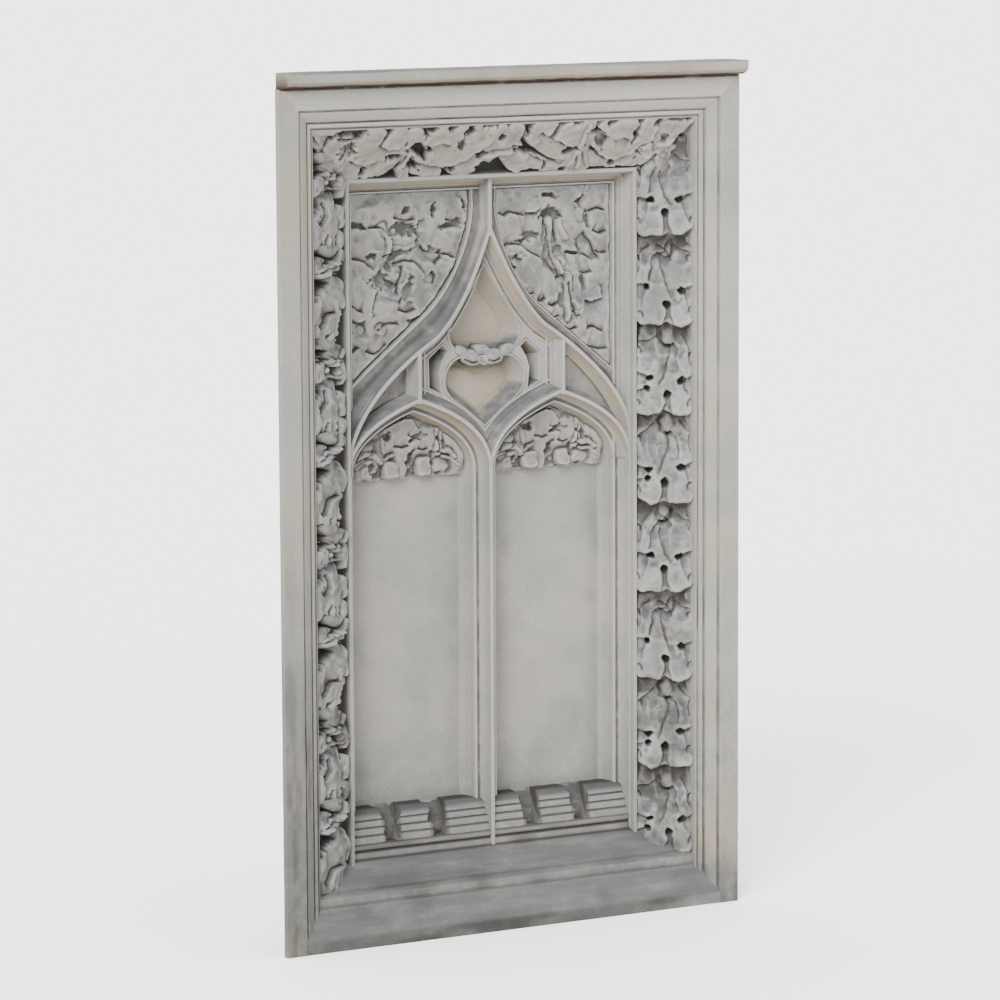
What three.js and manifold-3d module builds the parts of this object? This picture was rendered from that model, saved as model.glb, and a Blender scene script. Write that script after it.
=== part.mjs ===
// A stone relief panel: blind tracery in a moulded frame with a border of hanging leaves,
// carved from one block, and a separate ledge bedded along its top.
// Millimetres, +Z up. The front faces -Y and the flat back lies on the plane y = 0.
//
// The carving is laid out in panel coordinates: x across from the centre line, y up from
// the bottom edge, and a depth measured back from the plane of the outer fillet.
import * as THREE from "three";
import { mergeVertices } from "three/addons/utils/BufferGeometryUtils.js";
import Module from "manifold-3d";

const wasm = await Module();
wasm.setup();

// Driving dimensions
const panelWidth = 913;
const panelHeight = 1502;
const panelDepth = 178;
const edgeThickness = 12; // full width of the block's edge, before the flanks cut back
const flankAngle = THREE.MathUtils.degToRad(32);
const mountHeight = 752; // of the back mount above the bottom edge
const stoneGap = 0.3; // between the block and the ledge on it

const ledgeProjection = 31;
const ledgeHeight = 28;
const ledgeBack = 95; // how far the ledge's bed runs back over the block

const barDepth = 92; // front of the mullion and tracery bars
const filletDepth = 118; // second order of the bars
const fieldDepth = 150; // sunk fields of the lights
const spandrelDepth = 140;
const barHalfWidth = 3;
const filletOffset = 21; // from a bar's centre line to its second order
const jambOffset = 285; // centre line to the jamb of the lights

const springHeight = 812; // of the two lancets
const lancetRise = 133;
const hoodApex = 1242; // where the shaft splits into the ogee hood
const shoulder = { left: 1050, right: 1063 }; // hood's change of curve, 110 from the centre
const hoodFoot = { left: 812, right: 850 }; // where each side of the hood meets the jamb

const leafPitch = 161;
const lowestLeaf = 165;
const borderOffset = 335; // centre line of the leaf border
const borderTilt = THREE.MathUtils.degToRad(28.7);
const borderLeafDepth = 74;

// Mouldings as [inset, depth]
const frameProfile = [
  [40, 0], [43, 4], [60, 15], [62.5, 19], [67, 21], [71.5, 22], [76, 31],
  [84, 58], [108, 82], [143, 94], [163, 90], [166.5, 80], [172.5, 80], [174.5, barDepth],
];
const lightProfile = [
  [barHalfWidth, barDepth], [8, 105], [filletOffset - 1, filletDepth - 1],
  [24, filletDepth], [29, 137], [42, fieldDepth],
];
const cellProfile = [[barHalfWidth, barDepth], [8, 106], [filletOffset, filletDepth]];
const sideCellProfile = [[barHalfWidth, barDepth], [7, 108], [13, 120]];
const sunkProfile = [[0, filletDepth], [5, 138], [12, fieldDepth]];
const slotProfile = [[0, filletDepth], [6, 150], [8, 160]];

// The sill's section as [height, depth], from the bottom edge to the fields of the lights
const sillSection = [
  [20, 0], [71, 27], [76, 31], [89, 31], [94, 40], [104, 48], [138, 86], [143, 96],
  [156, 98], [159, 95], [163, 98], [172, 98], [175, 101], [186, 101], [189, 105],
  [200, 106], [204, 109], [212, 110], [216, 115], [221, 118], [228, fieldDepth],
];
const notchHalfWidth = 18;
const notchCentres = [-198, -104, 84, 184]; // gaps broken through the cresting on the sill
const notchFloor = 178;
const notchDepth = 128;

// Leaf masses as [x, y, length, width, turn in degrees]
const topLeaves = [
  [-335, 1378, 84, 84, 45], [-252, 1382, 138, 84, 90], [-103, 1382, 148, 84, -90],
  [78, 1382, 130, 84, -90], [236, 1382, 146, 84, -90], [335, 1378, 84, 84, -45],
];
const spandrelLeaves = [
  [238, 1281, 62, 54, 0], [181, 1281, 62, 58, 0], [122, 1281, 62, 58, 0], [62, 1281, 62, 58, 0],
  [66, 1216, 78, 66, 10], [146, 1146, 108, 88, 35], [226, 1208, 92, 66, 20],
  [100, 1160, 60, 36, 0], [197, 1103, 92, 74, 40], [232, 1038, 62, 50, 30],
];
const headLeaves = [
  [-36, 822, 44, 34, 0], [33, 824, 44, 34, 0], [-96, 818, 40, 28, 0], [-70, 836, 48, 34, 20],
  [66, 824, 32, 28, 0], [-8, 880, 58, 84, 0], [74, 852, 62, 30, 25],
];
const cuspLeaf = [0, 1011, 26, 24, 0];
const scrollCentre = [171, 1164];

// Outlines
const at = (x, y) => new THREE.Vector2(x, y);

function bend(samples, ...corners) {
  return new THREE.CubicBezierCurve(...corners.map((corner) => at(...corner))).getPoints(samples);
}

const mirrored = (points) => points.map((point) => at(-point.x, point.y)).reverse();

// The points of an outline moved to the left of its direction of travel, which is inwards
// on a closed outline that runs anticlockwise
function shifted(points, distance, closed = true) {
  return points.map((point, i) => {
    const last = points.length - 1;
    const before = points[i > 0 ? i - 1 : closed ? last : 0];
    const after = points[i < last ? i + 1 : closed ? 0 : last];
    const arriving = point.clone().sub(i > 0 || closed ? before : after).normalize();
    const leaving = after.clone().sub(i < last || closed ? point : before).normalize();
    if (!closed && i === 0) arriving.copy(leaving);
    const square = at(-leaving.y, leaving.x);
    const halfway = at(-arriving.y - leaving.y, arriving.x + leaving.x).normalize();
    const stretch = 1 / Math.max(halfway.dot(square), 0.3);
    return point.clone().addScaledVector(halfway, distance * stretch);
  });
}

// The ogee hood's arris from the shaft down to the jamb, drawn on the right
function hoodLine(side) {
  const upper = bend(7, [0, hoodApex], [26, hoodApex - 72], [60, shoulder[side] + 41],
    [110, shoulder[side]]);
  const lower = bend(6, [110, shoulder[side]], [178, shoulder[side] - 42],
    [jambOffset, hoodFoot[side] + 96], [jambOffset, hoodFoot[side]]);
  return [...upper, ...lower.slice(1)];
}

// The hood's outer edge, with as many points as its arris
function hoodEdge() {
  const upper = bend(7, [filletOffset + 1, 1290], [filletOffset + 1, 1215], [70, 1136], [109, 1101]);
  const lower = new THREE.LineCurve(at(109, 1101), at(266, 973)).getPoints(6);
  return [...upper, ...lower.slice(1)];
}

// One side of a lancet's arris, from its spring up to its apex, right of the light's centre
function lancetSide() {
  const half = jambOffset / 2;
  return bend(8, [half, springHeight], [half, springHeight + 60], [91, springHeight + 102],
    [0, springHeight + lancetRise]);
}

// Closed solids
function solidFrom(geometry) {
  const bare = geometry.clone();
  bare.deleteAttribute("normal");
  bare.deleteAttribute("uv");
  const merged = mergeVertices(bare, 1e-3);
  return new wasm.Manifold(new wasm.Mesh({
    numProp: 3,
    vertProperties: new Float32Array(merged.attributes.position.array),
    triVerts: new Uint32Array(merged.index.array),
  }));
}

// A stack of like outlines, one behind the other, closed at the front and the back
function stackSolid(rings, depths) {
  const count = rings[0].length;
  const positions = [];
  const triangles = [];
  rings.forEach((ring, k) => ring.forEach(({ x, y }) => positions.push(x, y, -depths[k])));
  for (let k = 0; k + 1 < rings.length; k += 1) {
    for (let i = 0; i < count; i += 1) {
      const front = k * count + i;
      const frontNext = k * count + ((i + 1) % count);
      triangles.push(front, front + count, frontNext + count);
      triangles.push(front, frontNext + count, frontNext);
    }
  }
  const backStart = (rings.length - 1) * count;
  for (const [a, b, c] of THREE.ShapeUtils.triangulateShape(rings[0], [])) {
    triangles.push(a, b, c);
  }
  for (const [a, b, c] of THREE.ShapeUtils.triangulateShape(rings[rings.length - 1], [])) {
    triangles.push(backStart + c, backStart + b, backStart + a);
  }
  const geometry = new THREE.BufferGeometry();
  geometry.setAttribute("position", new THREE.Float32BufferAttribute(positions, 3));
  geometry.setIndex(triangles);
  return solidFrom(geometry);
}

// What a moulding takes away inside an outline, open to the front
function sinking(outline, profile) {
  const rings = profile.map(([inset]) => shifted(outline, inset));
  const depths = profile.map(([, depth]) => depth);
  return stackSolid([rings[0], ...rings], [depths[0] - 60, ...depths]);
}

// A section of [height, depth] points run across the panel
function runAcross(section, from, to) {
  const shape = new THREE.Shape(section.map(([height, depth]) => at(depth, height)));
  const geometry = new THREE.ExtrudeGeometry(shape, { depth: to - from, bevelEnabled: false });
  return solidFrom(geometry.rotateY(Math.PI / 2).translate(from, 0, 0));
}

// An upright prism over the block's plan, whose flanks cut back from the front edge
function planPrism(left, right, frontDepth, straight, from, to) {
  const taper = (panelDepth - frontDepth - straight) * Math.tan(flankAngle);
  const shape = new THREE.Shape([
    at(left, frontDepth), at(right, frontDepth), at(right, frontDepth + straight),
    at(right - taper, panelDepth), at(left + taper, panelDepth), at(left, frontDepth + straight),
  ]);
  const geometry = new THREE.ExtrudeGeometry(shape, { depth: to - from, bevelEnabled: false });
  return solidFrom(geometry.rotateX(-Math.PI / 2).translate(0, from, 0));
}

// A four-lobed leaf: a flattened ball drawn out towards its corners and pinched between lobes
function leafSolid([x, y, length, width, turn], depth, thickness, tiltX = 0, tiltY = 0) {
  const geometry = new THREE.SphereGeometry(1, 16, 5).rotateX(Math.PI / 2);
  const position = geometry.attributes.position;
  for (let i = 0; i < position.count; i += 1) {
    const across = position.getX(i);
    const along = position.getY(i);
    const angle = Math.atan2(along, across);
    const square = (Math.abs(Math.cos(angle)) ** 4 + Math.abs(Math.sin(angle)) ** 4) ** -0.25;
    const pinched = Math.abs(Math.sin(2 * angle)) < 0.1 && Math.sin(angle) < 0.9;
    const reach = square * (pinched ? 0.66 : 0.97);
    position.setXY(i, across * reach * width / 2, along * reach * length / 2);
    position.setZ(i, position.getZ(i) * thickness);
  }
  const place = new THREE.Object3D();
  place.position.set(x, y, -depth);
  place.rotation.set(tiltX, tiltY, THREE.MathUtils.degToRad(turn));
  place.updateMatrix();
  return solidFrom(geometry.applyMatrix4(place.matrix));
}

// Sunk shapes of the tracery
function lightSinking(centre) {
  const side = lancetSide();
  const half = jambOffset / 2;
  const outline = [at(-half, 60), at(half, 60), ...side, ...mirrored(side).slice(1)];
  return sinking(outline.map((point) => at(point.x + centre, point.y)), lightProfile);
}

function spandrelSinking(side) {
  const top = panelHeight - (panelWidth / 2 - jambOffset);
  const hood = shifted(hoodLine(side), barHalfWidth, false).slice(1);
  const edge = hoodEdge().slice(1);
  const outer = [at(jambOffset - 3, top - 3), at(barHalfWidth, top - 3), ...hood];
  const inner = [at(264, top - 20), at(filletOffset + 1, top - 20), ...edge];
  outer[outer.length - 1].x = jambOffset - 3;
  const between = (share) => outer.map((point, i) => point.clone().lerp(inner[i], share));
  const rings = [outer, outer, between(0.3), inner, shifted(inner, 1)];
  const depths = [barDepth - 60, barDepth, 108, filletDepth, spandrelDepth];
  return stackSolid(side === "left" ? rings.map(mirrored) : rings, depths);
}

function heartCellSinking() {
  const lancet = lancetSide().map((point) => at(jambOffset / 2 - point.x, point.y)).slice(3);
  const barTop = { right: at(144, shoulder.right - 30), left: at(144, shoulder.left - 22) };
  const hood = (side) => hoodLine(side).slice(1, 8);
  const outline = [
    at(0, 838), ...lancet, barTop.right, ...hood("right").reverse(),
    at(0, hoodApex), ...mirrored(hood("left").reverse()), at(-barTop.left.x, barTop.left.y),
    ...mirrored(lancet),
  ];
  return sinking(outline, cellProfile);
}

function sideCellSinking(side) {
  const lift = side === "right" ? 12 : 0;
  const outline = [
    at(146, 946), at(200, 924), at(240, 896 + lift), at(236, 944 + lift),
    at(200, 988 + lift), at(146, 1030 + lift),
  ];
  return sinking(side === "left" ? mirrored(outline) : outline, sideCellProfile);
}

function symmetric(rightSide) {
  return [...rightSide, ...mirrored(rightSide).filter((point) => Math.abs(point.x) > 0.1)];
}

function daggerSinking() {
  const right = [[0, 1014], [24, 1016], [52, 1023], [68, 1042], [70, 1062], [56, 1092], [31, 1124],
    [11, 1157], [0, 1174]];
  return sinking(symmetric(right.map((point) => at(...point))), sunkProfile);
}

function heartSinking() {
  const right = [[0, 890], [34, 918], [60, 937], [76, 955], [79, 973], [74, 992], [62, 1007],
    [44, 1014], [22, 1008], [0, 998]];
  return sinking(symmetric(right.map((point) => at(...point))), sunkProfile);
}

function slotSinking(side) {
  const outline = [[90, 952], [118, 964], [119, 1016], [84, 1042], [70, 1028], [84, 1010], [91, 988]];
  const points = outline.map((point) => at(...point));
  return sinking(side === "left" ? mirrored(points) : points, slotProfile);
}

function notchSolid(centre) {
  const half = notchHalfWidth;
  const outline = [
    at(centre - half + 7, notchFloor), at(centre + half, notchFloor), at(centre + half - 5, 205),
    at(centre + half - 3, 232), at(centre - half, 232), at(centre - half + 2, 205),
  ];
  return stackSolid([outline, outline], [90, notchDepth]);
}

function sillSolid() {
  const top = [[360, fieldDepth], [360, panelDepth]];
  const section = [[-40, 0], ...sillSection, ...top, [-40, panelDepth]];
  return runAcross(section.reverse(), -panelWidth / 2 - 10, panelWidth / 2 + 10);
}

// Carving left standing
function borderLeaves() {
  const leaves = [];
  for (const hand of [-1, 1]) {
    for (let i = 0; i < 8; i += 1) {
      const place = [hand * borderOffset, lowestLeaf + i * leafPitch, 150, 86, 0];
      leaves.push(leafSolid(place, borderLeafDepth, 30, 0, -hand * borderTilt));
    }
  }
  topLeaves.forEach((place) => leaves.push(leafSolid(place, borderLeafDepth, 28, borderTilt)));
  return leaves;
}

function traceryLeaves() {
  const leaves = [];
  for (const hand of [-1, 1]) {
    for (const [x, y, length, width, turn] of spandrelLeaves) {
      leaves.push(leafSolid([hand * x, y, length, width, hand * turn], 142, 32));
    }
    const scroll = new THREE.TorusGeometry(17, 8, 5, 12).scale(1, 1, 1.4);
    scroll.translate(hand * scrollCentre[0], scrollCentre[1], -113);
    leaves.push(solidFrom(scroll));
    for (const [x, y, length, width, turn] of headLeaves) {
      const centre = hand * jambOffset / 2;
      leaves.push(leafSolid([centre + x, y, length, width, turn], 152, 34));
    }
  }
  for (const step of [-1.5, -0.5, 0.5, 1.5]) {
    const [x, y, length, width, turn] = cuspLeaf;
    leaves.push(leafSolid([x + step * width, y, length, width, turn], 148, 32));
  }
  return leaves;
}

function panelSolid() {
  const half = panelWidth / 2;
  const block = planPrism(-half, half, 0, edgeThickness, 0, panelHeight);
  const frameOutline = [at(-half, -300), at(half, -300), at(half, panelHeight), at(-half, panelHeight)];
  const sunk = wasm.Manifold.union([
    sinking(frameOutline, frameProfile),
    lightSinking(-jambOffset / 2), lightSinking(jambOffset / 2),
    spandrelSinking("left"), spandrelSinking("right"),
    heartCellSinking(), daggerSinking(), heartSinking(),
    slotSinking("left"), slotSinking("right"),
    sideCellSinking("left"), sideCellSinking("right"),
  ]);
  const opened = sunk.subtract(sillSolid());
  const notches = wasm.Manifold.union(notchCentres.map(notchSolid));
  const carving = wasm.Manifold.union([...borderLeaves(), ...traceryLeaves()]);
  return wasm.Manifold.union([block.subtract(opened).subtract(notches), carving.intersect(block)]);
}

function ledgeSolid() {
  const bed = panelHeight + stoneGap;
  const top = panelHeight + ledgeHeight;
  const front = -ledgeProjection;
  const section = [
    [bed, ledgeBack], [bed, 4], [bed + 1.5, -12], [bed + 5, -23], [bed + 10, front],
    [top - 2, front], [top, front + 3], [top - 5, ledgeBack],
  ];
  const plan = planPrism(-450, panelWidth / 2, front, 8, bed - 1, top + 1);
  return runAcross(section, -panelWidth / 2 - 1, panelWidth / 2 + 1).intersect(plan);
}

function meshOf(solid, name, material) {
  const { vertProperties, triVerts } = solid.getMesh();
  const geometry = new THREE.BufferGeometry();
  geometry.setAttribute("position", new THREE.Float32BufferAttribute(vertProperties, 3));
  geometry.setIndex([...triVerts]);
  geometry.rotateX(Math.PI / 2).translate(0, -panelDepth, -mountHeight);
  geometry.computeVertexNormals();
  const mesh = new THREE.Mesh(geometry, material);
  mesh.name = name;
  return mesh;
}

const limestone = { color: 0xb3b0a8, roughness: 0.92, metalness: 0 };
const panel = new THREE.Group();
panel.add(meshOf(panelSolid(), "panel", new THREE.MeshStandardMaterial(limestone)));
panel.add(meshOf(ledgeSolid(), "cap_ledge", new THREE.MeshStandardMaterial(limestone)));

export default panel;
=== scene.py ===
import math

import bmesh
import bpy
import numpy as np
from mathutils import Matrix, Vector


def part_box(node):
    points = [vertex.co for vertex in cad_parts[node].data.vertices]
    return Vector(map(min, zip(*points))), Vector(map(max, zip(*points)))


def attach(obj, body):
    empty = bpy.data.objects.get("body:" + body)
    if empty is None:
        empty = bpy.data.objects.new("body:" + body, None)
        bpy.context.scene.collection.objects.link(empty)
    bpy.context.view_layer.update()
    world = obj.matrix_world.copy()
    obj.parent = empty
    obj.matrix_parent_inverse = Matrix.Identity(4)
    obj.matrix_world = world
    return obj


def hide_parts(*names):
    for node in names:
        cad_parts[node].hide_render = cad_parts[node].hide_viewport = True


# A stone relief panel: blind tracery in a moulded frame, a border of hanging leaves,
# a weathered sill and a ledge bedded along the top.
# The carving is laid out in panel coordinates, in millimetres: across from the centre
# line, height above the bottom edge, and depth behind the plane of the outer fillet.
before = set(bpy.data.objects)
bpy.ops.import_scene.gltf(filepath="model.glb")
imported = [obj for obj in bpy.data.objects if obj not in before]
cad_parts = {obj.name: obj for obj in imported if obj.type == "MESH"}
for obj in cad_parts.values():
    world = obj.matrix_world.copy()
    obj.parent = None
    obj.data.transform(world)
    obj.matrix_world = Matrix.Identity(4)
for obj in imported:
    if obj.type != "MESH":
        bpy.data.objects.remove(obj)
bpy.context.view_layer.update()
scene = bpy.context.scene
mm = 0.001
panelLow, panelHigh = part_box("panel")
ledgeLow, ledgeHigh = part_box("cap_ledge")
panelHalf = panelHigh.x / mm
panelHeight = (panelHigh.z - panelLow.z) / mm
panelDepth = (panelHigh.y - panelLow.y) / mm
ledgeBed = (ledgeLow.z - panelLow.z) / mm
ledgeTop = (ledgeHigh.z - panelLow.z) / mm
ledgeFront = (ledgeLow.y - panelLow.y) / mm
carvingBack = 163.0  # the carved sheets are bedded this deep, inside the slab
made = []  # every finished piece, for the last count
print("frame loaded")


def place(across, height, depth):
    across, height, depth = np.broadcast_arrays(across, height, depth)
    world = [across * mm, panelLow.y + depth * mm, panelLow.z + height * mm]
    return np.stack(world, axis=-1).astype(float)


def smoothStep(low, high, value):
    t = np.clip((value - low) / (high - low), 0, 1)
    return t * t * (3 - 2 * t)


def softNoise(x, z, size, seed):
    table = np.random.default_rng(seed).random((64, 64)) * 2 - 1
    u, w = x / size, z / size
    i, j = np.floor(u).astype(int), np.floor(w).astype(int)
    fu, fw = u - i, w - j
    fu, fw = fu * fu * (3 - 2 * fu), fw * fw * (3 - 2 * fw)
    near = table[i % 64, j % 64] * (1 - fu) + table[(i + 1) % 64, j % 64] * fu
    far = table[i % 64, (j + 1) % 64] * (1 - fu) + table[(i + 1) % 64, (j + 1) % 64] * fu
    return near * (1 - fw) + far * fw


def softMax(a, b, blend):
    return np.maximum(a, b) + blend * np.log1p(np.exp(-np.abs(a - b) / blend))


def bezier(start, first, second, end, count):
    t = np.linspace(0, 1, count + 1)[:, None]
    a, b, c, d = (np.array(p, float) for p in (start, first, second, end))
    return a * (1 - t) ** 3 + 3 * b * t * (1 - t) ** 2 + 3 * c * t * t * (1 - t) + d * t ** 3


def join(*runs):
    points = [np.asarray(runs[0], float)]
    for run in runs[1:]:
        run = np.asarray(run, float)
        points.append(run[1:] if np.allclose(run[0], points[-1][-1]) else run)
    return np.concatenate(points)


def spaced(points, step):
    points = np.asarray(points, float)
    lengths = np.hypot(*np.diff(points, axis=0).T)
    at = np.concatenate([[0], np.cumsum(lengths)])
    stops = np.linspace(0, at[-1], max(2, int(round(at[-1] / step)) + 1))
    return np.stack([np.interp(stops, at, points[:, 0]), np.interp(stops, at, points[:, 1])], 1)


def mirrored(points):
    return np.asarray(points, float) * [-1, 1]


# Distance from a run of points, the side (right of the run is positive) and the place along it, 0 to 1
def beside(x, z, points):
    points = np.asarray(points, float)
    best = np.full(x.shape, 1e9)
    side = np.ones(x.shape)
    along = np.zeros(x.shape)
    lengths = np.hypot(*np.diff(points, axis=0).T)
    at = np.concatenate([[0], np.cumsum(lengths)]) / lengths.sum()
    for k in range(len(points) - 1):
        (ax, az), (bx, bz) = points[k], points[k + 1]
        ux, uz = bx - ax, bz - az
        t = np.clip(((x - ax) * ux + (z - az) * uz) / (ux * ux + uz * uz), 0, 1)
        dx, dz = x - ax - t * ux, z - az - t * uz
        away = np.hypot(dx, dz)
        nearer = away < best
        best = np.where(nearer, away, best)
        side = np.where(nearer, np.sign(dx * uz - dz * ux), side)
        along = np.where(nearer, at[k] + t * (at[k + 1] - at[k]), along)
    return best, side, along


def inside(x, z, outline):
    hit = np.zeros(x.shape, bool)
    outline = np.asarray(outline, float)
    for (ax, az), (bx, bz) in zip(outline, np.roll(outline, -1, axis=0)):
        crosses = (az > z) != (bz > z)
        if az != bz:
            hit ^= crosses & (x < ax + (z - az) * (bx - ax) / (bz - az))
    return hit


# Meshes
def newMesh(name, points, faces):
    mesh = bpy.data.meshes.new(name)
    mesh.from_pydata(np.asarray(points).tolist(), [], [list(f) for f in faces])
    mesh.validate()
    return mesh


# The cells of a grid whose four corners are all marked, or whose slanting pair has one marked
def fullCells(marked):
    return marked[:-1, :-1] & marked[1:, 1:] & marked[:-1, 1:] & marked[1:, :-1]


def touchedCells(marked):
    return marked[:-1, :-1] | marked[1:, 1:]


# A closed solid from a grid of front points, cut to the cells that are kept
def closedSheet(name, across, height, depth, back, keep=None):
    rows, columns = across.shape
    keep = np.ones((rows - 1, columns - 1), bool) if keep is None else keep.copy()
    for _ in range(6):  # cells that touch only at a corner are joined
        a, b, c, d = keep[:-1, :-1], keep[:-1, 1:], keep[1:, :-1], keep[1:, 1:]
        one, two = a & d & ~b & ~c, b & c & ~a & ~d
        if not (one.any() or two.any()):
            break
        keep[:-1, 1:] |= one
        keep[:-1, :-1] |= two
    index = np.arange(rows * columns).reshape(rows, columns)
    quads = np.stack([index[:-1, :-1], index[:-1, 1:], index[1:, 1:], index[1:, :-1]], -1)[keep]
    used, flat = np.unique(quads, return_inverse=True)
    quads = flat.reshape(-1, 4)
    count = len(used)
    front = place(across.ravel()[used], height.ravel()[used], depth.ravel()[used])
    starts = quads.ravel()
    ends = np.roll(quads, -1, axis=1).ravel()
    single = ~np.isin(starts * count + ends, ends * count + starts)
    follow = dict(zip(starts[single].tolist(), ends[single].tolist()))
    faces = quads.tolist()
    points = [front]
    total = count
    while follow:
        first = next(iter(follow))
        loop = [first]
        nextOne = follow.pop(first)
        while nextOne != first:
            loop.append(nextOne)
            nextOne = follow.pop(nextOne)
        behind = front[loop].copy()
        behind[:, 1] = panelLow.y + back * mm
        points.append(behind)
        size = len(loop)
        for k in range(size):
            k2 = (k + 1) % size
            faces.append([loop[k2], loop[k], total + k, total + k2])
        faces.append([total + k for k in range(size - 1, -1, -1)])
        total += size
    return newMesh(name, np.concatenate(points), faces)


def tidyNormals(mesh):
    work = bmesh.new()
    work.from_mesh(mesh)
    bmesh.ops.remove_doubles(work, verts=work.verts, dist=1e-6)
    bmesh.ops.recalc_face_normals(work, faces=work.faces)
    work.to_mesh(mesh)
    work.free()


# Cuts a closed solid with a plane, keeps the side that the normal points to and closes it
def cutAt(mesh, across, height, depth, normal):
    work = bmesh.new()
    work.from_mesh(mesh)
    spot = place(across, height, depth)
    everything = work.verts[:] + work.edges[:] + work.faces[:]
    cut = bmesh.ops.bisect_plane(
        work, geom=everything, plane_co=spot, plane_no=normal, clear_inner=True, dist=1e-7
    )
    rim = [e for e in cut["geom_cut"] if isinstance(e, bmesh.types.BMEdge)]
    if rim:
        bmesh.ops.holes_fill(work, edges=rim, sides=0)
    bmesh.ops.recalc_face_normals(work, faces=work.faces)
    work.to_mesh(mesh)
    work.free()


# How far each point lies behind the surface around it, from -1 on an edge to 1 in a groove
def addCavity(mesh, rounds, reach, name="cavity", limit=6.0):
    count = len(mesh.vertices)
    ends = np.empty(len(mesh.edges) * 2, int)
    mesh.edges.foreach_get("vertices", ends)
    a, b = ends[::2], ends[1::2]
    depth = spotsOf(mesh)[:, 1] / mm
    degree = np.maximum(np.bincount(a, minlength=count) + np.bincount(b, minlength=count), 1)
    soft = depth.copy()
    for _ in range(rounds):
        step = np.clip(soft[b] - soft[a], -limit, limit)
        soft = soft + 0.6 * (np.bincount(a, step, count) - np.bincount(b, step, count)) / degree
    setAttribute(mesh, name, np.clip((depth - soft) / reach, -1, 1))


def setAttribute(mesh, name, values):
    layer = mesh.attributes.get(name) or mesh.attributes.new(name, "FLOAT", "POINT")
    layer.data.foreach_set("value", np.ascontiguousarray(values, np.float32))


def spotsOf(mesh):
    spots = np.empty(len(mesh.vertices) * 3)
    mesh.vertices.foreach_get("co", spots)
    return spots.reshape(-1, 3)


def panelSpots(mesh):
    spots = spotsOf(mesh)
    return spots[:, 0] / mm, (spots[:, 2] - panelLow.z) / mm, (spots[:, 1] - panelLow.y) / mm


def moveSpots(mesh, across, height, depth):
    mesh.vertices.foreach_set("co", place(across, height, depth).ravel())
    mesh.update()


def finishPiece(name, mesh, material, node="panel", crease=32, rounds=4, reach=3.0, broad=0, **tints):
    low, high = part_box(node)
    spots = np.clip(spotsOf(mesh), np.array(low), np.array(high))
    mesh.vertices.foreach_set("co", spots.ravel())
    mesh.update()
    addCavity(mesh, rounds, reach)
    if broad:
        addCavity(mesh, broad, stoneLook["broadReach"], "hollow", stoneLook["broadLimit"])
    for tint, rule in tints.items():
        setAttribute(mesh, tint, rule(*panelSpots(mesh)))
    mesh.name = name
    mesh.materials.clear()
    mesh.materials.append(material)
    mesh.shade_smooth()
    mesh.set_sharp_from_angle(angle=math.radians(crease))
    piece = bpy.data.objects.new(name, mesh)
    scene.collection.objects.link(piece)
    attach(piece, "root")
    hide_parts(node)
    made.append(piece)
    return piece


# Node trees
def addNode(tree, kind, inputs=None, **settings):
    node = tree.nodes.new(kind)
    for key, value in settings.items():
        setattr(node, key, value)
    for key, value in (inputs or {}).items():
        if isinstance(value, bpy.types.NodeSocket):
            tree.links.new(value, node.inputs[key])
        else:
            node.inputs[key].default_value = value
    return node


def newGeometryTree(name, sockets):
    tree = bpy.data.node_groups.new(name, "GeometryNodeTree")
    tree.interface.new_socket("Geometry", in_out="INPUT", socket_type="NodeSocketGeometry")
    for label, kind, value in sockets:
        socket = tree.interface.new_socket(label, in_out="INPUT", socket_type=kind)
        if value is not None:
            socket.default_value = value
    tree.interface.new_socket("Geometry", in_out="OUTPUT", socket_type="NodeSocketGeometry")
    return tree, tree.nodes.new("NodeGroupInput"), tree.nodes.new("NodeGroupOutput")


# Moves every point of a surface a little, by a noise of the given size
def addDrift(tree, geometry, amount, size, seed, detail):
    values = {"Scale": size, "Detail": detail, "W": seed}
    grain = addNode(tree, "ShaderNodeTexNoise", values, noise_dimensions="4D")
    centred = addNode(tree, "ShaderNodeVectorMath", {0: grain.outputs["Color"]}, operation="SUBTRACT")
    centred.inputs[1].default_value = (0.5, 0.5, 0.5)
    inputs = {0: centred.outputs[0], "Scale": times(tree, amount, 2.0)}
    shift = addNode(tree, "ShaderNodeVectorMath", inputs, operation="SCALE")
    moved = addNode(tree, "GeometryNodeSetPosition", {"Geometry": geometry, "Offset": shift.outputs[0]})
    return moved.outputs[0]


def addMaterial(tree, geometry, given, result):
    inputs = {"Geometry": geometry, "Material": given.outputs["Material"]}
    finished = addNode(tree, "GeometryNodeSetMaterial", inputs)
    tree.links.new(finished.outputs[0], result.inputs["Geometry"])


def bakeTree(host, tree, values):
    scene.collection.objects.link(host)
    modifier = host.modifiers.new(tree.name, "NODES")
    modifier.node_group = tree
    for item in tree.interface.items_tree:
        if item.in_out == "INPUT" and item.name in values:
            modifier[item.identifier] = values[item.name]
    graph = bpy.context.evaluated_depsgraph_get()
    graph.update()
    mesh = bpy.data.meshes.new_from_object(host.evaluated_get(graph))
    host.modifiers.remove(modifier)
    bpy.data.objects.remove(host)
    return mesh


# Limestone, weathered, with painted shade in hollows and grooves and painted highlights on ridges and edges
stoneLook = {
    "pale": (0.183, 0.174, 0.157), "grey": (0.150, 0.147, 0.138), "warm": (0.205, 0.168, 0.116),
    "soot": (0.058, 0.059, 0.061), "shade": (0.060, 0.058, 0.055), "grimeColour": (0.016, 0.014, 0.012),
    "damp": (0.086, 0.087, 0.082), "edge": (0.255, 0.250, 0.235), "rust": (0.030, 0.018, 0.011),
    "patchScale": 6.0, "speckleScale": 420.0, "dampTop": 0.48, "stainDepth": 0.06, "leftTone": 0.82,
    "broadReach": 3.6, "broadLimit": 2.5,
}


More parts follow.
